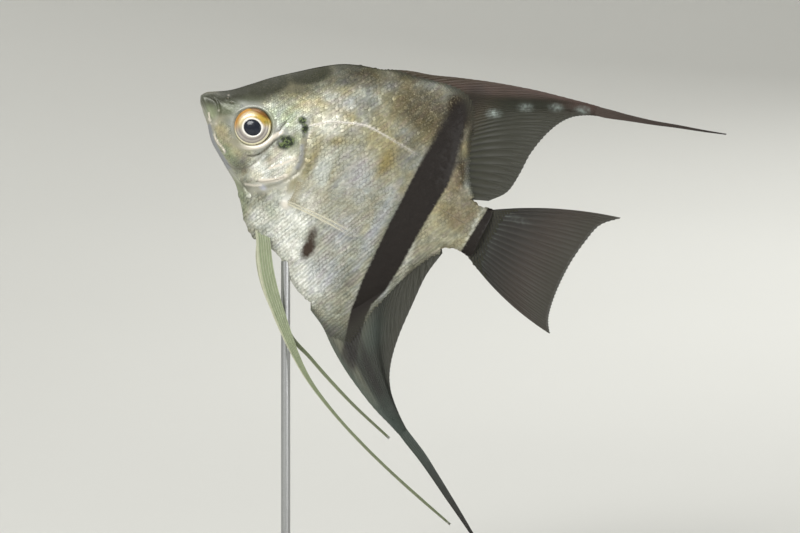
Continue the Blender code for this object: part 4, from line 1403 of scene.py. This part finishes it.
def finFinish(name, membrane, rays, solid, clearing, bony=0.9, margin=0.0):
    # solid: how opaque the membrane is at its root; clearing: what it loses towards the edge;
    # bony: how opaque the rays are; margin: how clear the very edge is
    finish = Finish(name)
    place = finish.fishPlace()
    across, along, ray = (finish.attribute(key) for key in ("across", "along", "ray"))
    drawn = finish.flat(across * 0.6, along * 14)
    grain = finish.noise(place, 1.6, 3.0, 0.6)
    streak = finish.noise(drawn, 0.7, 3.0, 0.6)
    darker, paler = (toLinear(*[min(255, share * c) for c in membrane]) for share in (0.82, 1.14))
    colour = finish.mix(grain, darker, paler)
    colour = finish.mix(ray * finish.span(streak, 0.25, 0.6, 0.5, 1.0), colour, toLinear(*rays))
    for key, tone in finMarks.items():
        strength = finish.maths("MULTIPLY", finish.attribute(key), 0.6 + 0.7 * grain, clamp=True)
        if key == "glint":
            strength = strength * finish.span(finish.noise(place, 0.9), 0.34, 0.68, 0.3, 1.0)
        colour = finish.mix(strength, colour, toLinear(*tone))
    wave = {"Vector": drawn, "Scale": 1.6, "Distortion": 0.6}
    joints = finish.span(finish.node("ShaderNodeTexWave", {"bands_direction": "Y"}, wave, "Fac"), 0.2, 0.8)
    thin = (1 - ray * bony) * finish.span(along, 0.1, 1.0, 1 - solid, 1 - solid + clearing)
    thin = finish.maths("MAXIMUM", thin, margin * finish.span(along, 0.93, 1.0))
    finish.close(
        Base_Color=colour,
        Roughness=finish.span(grain, 0.3, 0.7, 0.39, 0.53),
        Coat_Weight=0.15,
        Coat_Roughness=0.3,
        Alpha=1 - thin * (1 - finish.attribute("solid")),
        Normal=finish.bump(joints * ray + 0.4 * streak, 0.00004, 0.7),
    )
    return finish


sheathScales = {
    "pitch": 0.76, "row": 0.66, "first": 0.25, "steps": 40,
    "tall": 0.6, "rimDepth": 0.7, "uneven": 0.06, "vary": 0.08, "seed": 70,
    "most": 0.82,  # of a ray's length
}
sheaths = {
    # how far the small scales reach up each fin, by the place along its root, and how they fade
    "dorsal": {"reach": ([0, 0.3, 0.5, 0.8, 1], [3.2, 4.4, 3.6, 2.8, 2]), "fade": 0.85},
    "anal": {"reach": ([0, 0.1, 0.3, 0.55, 1], [3, 7, 8, 3.6, 2]), "fade": 0.7},
    "tail": {"reach": ([0, 0.15, 0.5, 0.85, 1], [9, 4.4, 3.4, 4.4, 9]), "fade": 1.0, "least": 0.9},
}


def level(x, z, u, v):
    # how far to the fish's right the fins in its middle plane lie: their bend and their waves
    return sweepAt(x) + 0.12 * np.sin(0.45 * x + 0.3 * z) * np.minimum(1, 3 * v)


def makeSheath(kind, fan):
    # small scales that run from the body on to the root of a fin
    sheath, pitch, row = sheaths[kind], sheathScales["pitch"], sheathScales["row"]
    uneven = sheathScales["uneven"]
    fine = np.linspace(0.004, 0.996, 600)
    lengths = np.linalg.norm(fan(fine, 0 * fine + 1) - fan(fine, 0 * fine), axis=1)
    reach = np.minimum(np.interp(fine, *sheath["reach"]), sheathScales["most"] * lengths)
    found = []
    for step in range(sheathScales["steps"]):
        high = sheathScales["first"] + step * pitch / 2
        runs = runsOf(fan(fine, high / lengths))
        at = np.arange(row * (1 + step % 2), runs[-1], 2 * row)
        u = np.interp(at, runs, fine)
        u = u[high < np.interp(u, fine, reach)]
        found.append(np.stack([u, high / np.interp(u, fine, lengths)], -1))
    u, v = np.vstack(found).T
    x, z = fan(u, v).T
    ahead = fan(u, v + 0.02)
    along = unit(np.stack([ahead[:, 0] - x, 0 * u, ahead[:, 1] - z], -1))
    out = np.zeros(along.shape) + (0, 1, 0)
    count = len(u)
    fade = np.maximum(v * np.interp(u, fine, lengths / reach), sheath.get("least", 0))
    small = np.interp(fade, [0.3, 1], [1, 0.55])
    for side, sign in sides.items():
        picks = np.random.default_rng(sheathScales["seed"] + (sign < 0))
        y = level(x, z, u, v) * sign + finShape["membrane"] + finShape["rayRoot"]
        sizes = {
            "length": pitch * scaleSize["length"] * picks.normal(1, uneven, count) * small,
            "width": row * scaleSize["width"] * picks.normal(1, uneven, count) * small,
            "tall": sheathScales["tall"] * small,
        }
        tone = np.clip(picks.normal(0.5, sheathScales["vary"], count), 0, 1)[:, None]
        faded = (sheath["fade"] * ease(0.05, 0.9, fade))[:, None]
        extras = {"tone": tone, "rim": scaleCoat["rim"][None], "rimDepth": sheathScales["rimDepth"]}
        extras["fade"] = faded
        frames = (np.stack([x, y, z], -1), along, np.cross(out, along), out)
        roots = np.stack([u * 84, v * 3], -1)
        name = f"scales_{kind}_{side}"
        mesh = layPlates(name, scaleCoat["shape"], frames, sizes, roots, extras, sign, scaleHeights)
        keep(name, mesh, scaleCoat["finish"])
    print(kind, "sheath:", count, "scales a side")


def makeMiddleFin(kind, fin, curve, finish):
    # dorsal or anal fin with its sheath and its long tip
    starts = [rootPoint(curve, root, -finShape["gap"]) for root, _, _ in fin["rays"]]
    fan = fanAt(starts, [tip for _, *tip in fin["rays"]], lambda u: fin["bow"] * np.sin(math.pi * u**2))
    sheet = finSheet(fan, level, fin["count"], 48, notch=0.012)
    finPiece(f"{kind}_fin", sheet, kind, finish, (f"{kind}_fin_front", f"{kind}_fin_sail"))
    makeSheath(kind, fan)
    ribbon, thinner = ribbonAt(fin["streamer"]), finShape["streamer"]
    sheet = finSheet(ribbon, level, 5, 90, branch=0.99, halves=thinner, taper=lambda v: ease(-0.05, 0.2, v))
    finPiece(f"{kind}_streamer", sheet, f"{kind}Streamer", finish, (f"{kind}_fin_streamer",))


def makeTail(finish):
    starts = [(tail["rootX"], z) for z, _, _ in tail["rays"]]
    fan = fanAt(starts, [tip for _, *tip in tail["rays"]], lambda u: 0.04 - 0.09 * u)
    sheet = finSheet(fan, level, tail["count"], 48, notch=0.01, branch=0.35)
    finPiece("tail_fin", sheet, "tail", finish, ("tail_fin_lower", "tail_fin_upper"))
    makeSheath("tail", fan)


def makePelvic(side, sign, finish):
    def splayed(x, z, u, v):
        back, up = x - pelvic["about"][0], z - pelvic["about"][1]
        reach = np.hypot(back, up) * pelvic["far"] / (pelvic["far"] + np.abs(up))
        return sign * (pelvic["rootY"] - 0.9 * ease(0.03, 0, v) + pelvic["splay"] * reach)

    ribbon = ribbonAt(pelvic[side])
    sheet = finSheet(ribbon, splayed, pelvic["count"], 120, branch=0.99, halves=pelvic["halves"])
    finPiece(f"pelvic_{side}", sheet, "pelvic", finish, (f"pelvic_fin_{side}", f"pelvic_streamer_{side}"))


def makePectoral(side, sign, finish):
    def spread(x, z, u, v):
        share = np.clip(-z / read(bellyCurve, x), -1, 1)
        wall = fleshAt(np.full(x.shape, pectoral["rootX"]), np.arccos(share))[:, 1]
        bend = pectoral["curl"] * np.sin(math.pi * u) * v
        lift = pectoral["lift"] * ease(-0.02, 0.1, v) - pectoral["sunk"]
        return sign * (wall + lift + pectoral["slope"] * (x - pectoral["rootX"]) - bend)

    starts = [(pectoral["rootX"], z) for z, _, _ in pectoral["rays"]]
    fan = fanAt(starts, [tip for _, *tip in pectoral["rays"]], lambda u: 0.05 * (u - 0.5))
    halves = pectoral["halves"]
    sheet = finSheet(fan, spread, pectoral["count"], 36, notch=0.03, branch=0.5, halves=halves)
    finPiece(f"pectoral_{side}", sheet, "pectoral", finish, (f"pectoral_fin_{side}",))


def makeFins():
    olive = finFinish("dorsal membrane", (44, 46, 29), (23, 22, 15), 0.94, 0.14, margin=0.22)
    grey = finFinish("anal membrane", (47, 50, 42), (30, 32, 26), 0.94, 0.14, margin=0.22)
    dusky = finFinish("tail membrane", (31, 32, 26), (41, 40, 33), 0.96, 0.1, margin=0.25)
    pale = finFinish("pelvic membrane", (132, 143, 110), (172, 177, 150), 0.95, 0.1)
    glassy = finFinish("pectoral membrane", (170, 160, 130), (196, 188, 156), 0.04, 0.02, bony=0.07)
    makeMiddleFin("dorsal", dorsal, backCurve, olive)
    makeMiddleFin("anal", anal, bellyCurve, grey)
    makeTail(dusky)
    for side, sign in sides.items():
        makePelvic(side, sign, pale)
        makePectoral(side, sign, glassy)
    print("fins made")


makeFins()

# ---- stand

stand = {
    "corner": 0.016, "cornerSteps": 12, "lip": 0.0016, "lipHeight": 0.0046,
    "cove": 0.0012, "lipEdge": 0.0008, "footEdge": 0.0003,
    # the collar's profile, as shares of its half width and height
    "collar": [(1, 0), (1, 0.24), (0.93, 0.33), (0.66, 0.38), (0.58, 0.46), (0.56, 0.86), (0.5, 1)],
    "bore": 1.03,  # the collar's hole, as a share of the rod
}
woodTones = {
    "dark": (58, 34, 22), "pale": (98, 62, 40), "fleck": (44, 26, 18), "pore": (24, 14, 10),
}


def woodFinish():
    finish = Finish("dark stained wood")
    tones = {name: toLinear(*c) for name, c in woodTones.items()}
    place = finish.objectPlace(100.0)
    wave = {"Scale": 0.9, "Distortion": 7.0, "Detail": 3.0, "Detail Scale": 1.2}
    wave["Vector"] = finish.stretched(place, 0.1, 1.1, 2.4)
    rings = finish.node("ShaderNodeTexWave", {"wave_type": "RINGS", "rings_direction": "X"}, wave, "Fac")
    pores = finish.noise(finish.stretched(place, 0.6, 14, 14), 0.6, 3.0, 0.6)
    fleck = finish.noise(finish.stretched(place, 0.12, 1, 1), 0.35, 4.0, 0.65)
    colour = finish.mix(rings, tones["dark"], tones["pale"])
    colour = finish.mix(0.6 * fleck, colour, tones["fleck"])
    colour = finish.mix(finish.span(pores, 0.42, 0.3, 0, 0.7), colour, tones["pore"])
    finish.close(
        Base_Color=colour,
        Roughness=finish.span(pores, 0.3, 0.7, 0.5, 0.34),
        Coat_Weight=0.35,
        Coat_Roughness=0.2,
        Normal=finish.bump(pores + 0.5 * rings, 0.00008, 0.35),
    )
    return finish


def steelFinish():
    finish = Finish("brushed steel")
    place = finish.objectPlace(1000.0)
    brushed = finish.noise(finish.stretched(place, 1, 1, 26), 1.0, 3.0, 0.6)
    smudge = finish.noise(place, 6.0)
    finish.close(
        Base_Color=finish.mix(brushed, toLinear(150, 152, 154), toLinear(204, 205, 206)),
        Metallic=1.0,
        Roughness=0.24 + 0.14 * brushed + 0.06 * smudge,
        Normal=finish.bump(brushed, 0.00001, 0.4),
    )
    return finish


def bevelled(bm, edges, width, segments):
    shape = {"affect": "EDGES", "segments": segments, "profile": 0.5, "material": -1}
    bmesh.ops.bevel(bm, geom=edges, offset=width, **shape)


def spun(profile, steps, closed):
    # a profile of (radius, height), turned once round
    bm = bmesh.new()
    ring = [bm.verts.new((r, 0, z)) for r, z in profile]
    edges = [bm.edges.new(pair) for pair in zip(ring, ring[1:] + ring[:1] if closed else ring[1:])]
    turning = {"axis": (0, 0, 1), "cent": (0, 0, 0), "angle": math.tau, "use_merge": True}
    bmesh.ops.spin(bm, geom=[*ring, *edges], steps=steps, **turning)
    return bm


def standPiece(name, bm, finish, slotName, sharp):
    piece = pieceFrom(name, bm, finish, slotName, (f"stand_{name}",), Matrix.Identity(4))
    piece.data.set_sharp_from_angle(angle=math.radians(sharp))


def faceHeight(face):
    return face.calc_center_median().z


def makeBase(finish):
    low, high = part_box("stand_base")
    size, lip = high - low, stand["lipHeight"]
    bm = bmesh.new()
    bmesh.ops.create_cube(bm, size=1)
    bmesh.ops.scale(bm, vec=(size.x, size.y, lip), verts=bm.verts)
    bmesh.ops.translate(bm, verts=bm.verts, vec=(0, 0, lip / 2))
    upright = [e for e in bm.edges if abs(e.verts[0].co.z - e.verts[1].co.z) > lip / 2]
    bevelled(bm, upright, stand["corner"], stand["cornerSteps"])
    top, under = max(bm.faces, key=faceHeight), min(bm.faces, key=faceHeight)
    lipEdges = list(top.edges)
    bmesh.ops.inset_region(bm, faces=[top], thickness=stand["lip"], depth=0)
    raised = bmesh.ops.extrude_face_region(bm, geom=[top])["geom"]
    bmesh.ops.delete(bm, geom=[top], context="FACES_ONLY")
    lifted = [v for v in raised if isinstance(v, bmesh.types.BMVert)]
    bmesh.ops.translate(bm, verts=lifted, vec=(0, 0, size.z - lip))
    bevelled(bm, list(max(bm.faces, key=faceHeight).edges), stand["cove"], 5)
    bevelled(bm, [e for e in lipEdges if e.is_valid], stand["lipEdge"], 4)
    bevelled(bm, list(under.edges), stand["footEdge"], 2)
    bmesh.ops.recalc_face_normals(bm, faces=bm.faces)
    standPiece("base", bm, finish, "stand_wood", 50)


def makeStand():
    makeBase(woodFinish())
    steel = steelFinish()
    low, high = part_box("stand_rod")
    radius, tall = (high.x - low.x) / 2, high.z - low.z
    bm = bmesh.new()
    bmesh.ops.create_cone(bm, cap_ends=True, segments=48, radius1=radius, radius2=radius, depth=tall)
    bmesh.ops.translate(bm, verts=bm.verts, vec=(low + high) / 2)
    standPiece("rod", bm, steel, "stand_steel", 40)

    low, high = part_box("stand_collar")
    centre, wide, tall, bore = (low + high) / 2, (high.x - low.x) / 2, high.z - low.z, radius * stand["bore"]
    profile = [(bore, 0), *((wide * r, tall * z) for r, z in stand["collar"]), (bore, tall)]
    bm = spun(profile, 64, closed=True)
    bmesh.ops.recalc_face_normals(bm, faces=bm.faces)
    bmesh.ops.translate(bm, verts=bm.verts, vec=(centre.x, centre.y, low.z))
    standPiece("collar", bm, steel, "stand_steel", 35)
    print("stand made")


makeStand()

# ---- room, light and camera

room = {"radius": 2.6, "wall": 2.4, "curve": 1.9, "colour": (208, 208, 203)}
lamps = {
    "key": {"at": (-0.5, -0.85, 0.72), "size": 0.55, "power": 9.5},
    "fill": {"at": (0.8, -0.85, 0.25), "size": 0.8, "power": 4.2},
    "rim": {"at": (0.5, 1.2, 0.9), "size": 0.7, "power": 7},
    "top": {"at": (0, 0.1, 1.5), "size": 0.9, "power": 4.5},
    "wall": {"at": (-0.4, 0.7, 1.6), "size": 1.4, "power": 7, "aim": (-0.2, 2.6, 0.6)},
}
sky = {"colour": (0.9, 0.89, 0.86), "strength": 0.5}
view = {"at": (0.01487, -0.6, 0.0919), "lens": 100, "sensor": 36, "nearest": 0.01}


def makeRoom():
    # a floor that curves up into a round wall
    finish = Finish("pale floor")
    darker, paler = (toLinear(*[share * c for c in room["colour"]]) for share in (0.985, 1))
    tone = finish.noise(finish.objectPlace(1.0), 0.5)
    finish.close(Base_Color=finish.mix(tone, darker, paler), Roughness=0.85)
    curve, inner = room["curve"], room["radius"] - room["curve"]
    turns = np.linspace(0, math.pi / 2, 13)
    bend = [(inner + curve * math.sin(turn), curve * (1 - math.cos(turn))) for turn in turns]
    bm = spun([(0, 0), *bend, (room["radius"], room["wall"])], 96, closed=False)
    bmesh.ops.remove_doubles(bm, verts=bm.verts, dist=0.0001)
    bmesh.ops.recalc_face_normals(bm, faces=bm.faces)
    bmesh.ops.reverse_faces(bm, faces=bm.faces)
    floor = placed("floor", meshFrom("floor", bm))
    floor.data.materials.append(finish.material)


def makeLights():
    for name, lamp in lamps.items():
        light = bpy.data.lights.new(name, "AREA")
        light.shape = "DISK"
        light.size = lamp["size"]
        light.energy = lamp["power"]
        obj = placed(name, light)
        obj.location = lamp["at"]
        aim = Vector(lamp.get("aim", (0, 0, 0.1))) - Vector(lamp["at"])
        obj.rotation_euler = aim.to_track_quat("-Z", "Y").to_euler()
        obj.visible_camera = False
    world = bpy.data.worlds.new("studio")
    world.use_nodes = True
    inputs = world.node_tree.nodes["Background"].inputs
    inputs["Color"].default_value = (*sky["colour"], 1)
    inputs["Strength"].default_value = sky["strength"]
    bpy.context.scene.world = world


def makeCamera():
    camera = placed("camera", bpy.data.cameras.new("camera"))
    camera.location = view["at"]
    camera.rotation_euler = (math.pi / 2, 0, 0)
    camera.data.lens = view["lens"]
    camera.data.sensor_width = view["sensor"]
    camera.data.clip_start = view["nearest"]
    bpy.context.scene.camera = camera


bpy.context.scene.view_settings.view_transform = "Standard"
makeRoom()
makeLights()
makeCamera()
print("room, lights and camera set")
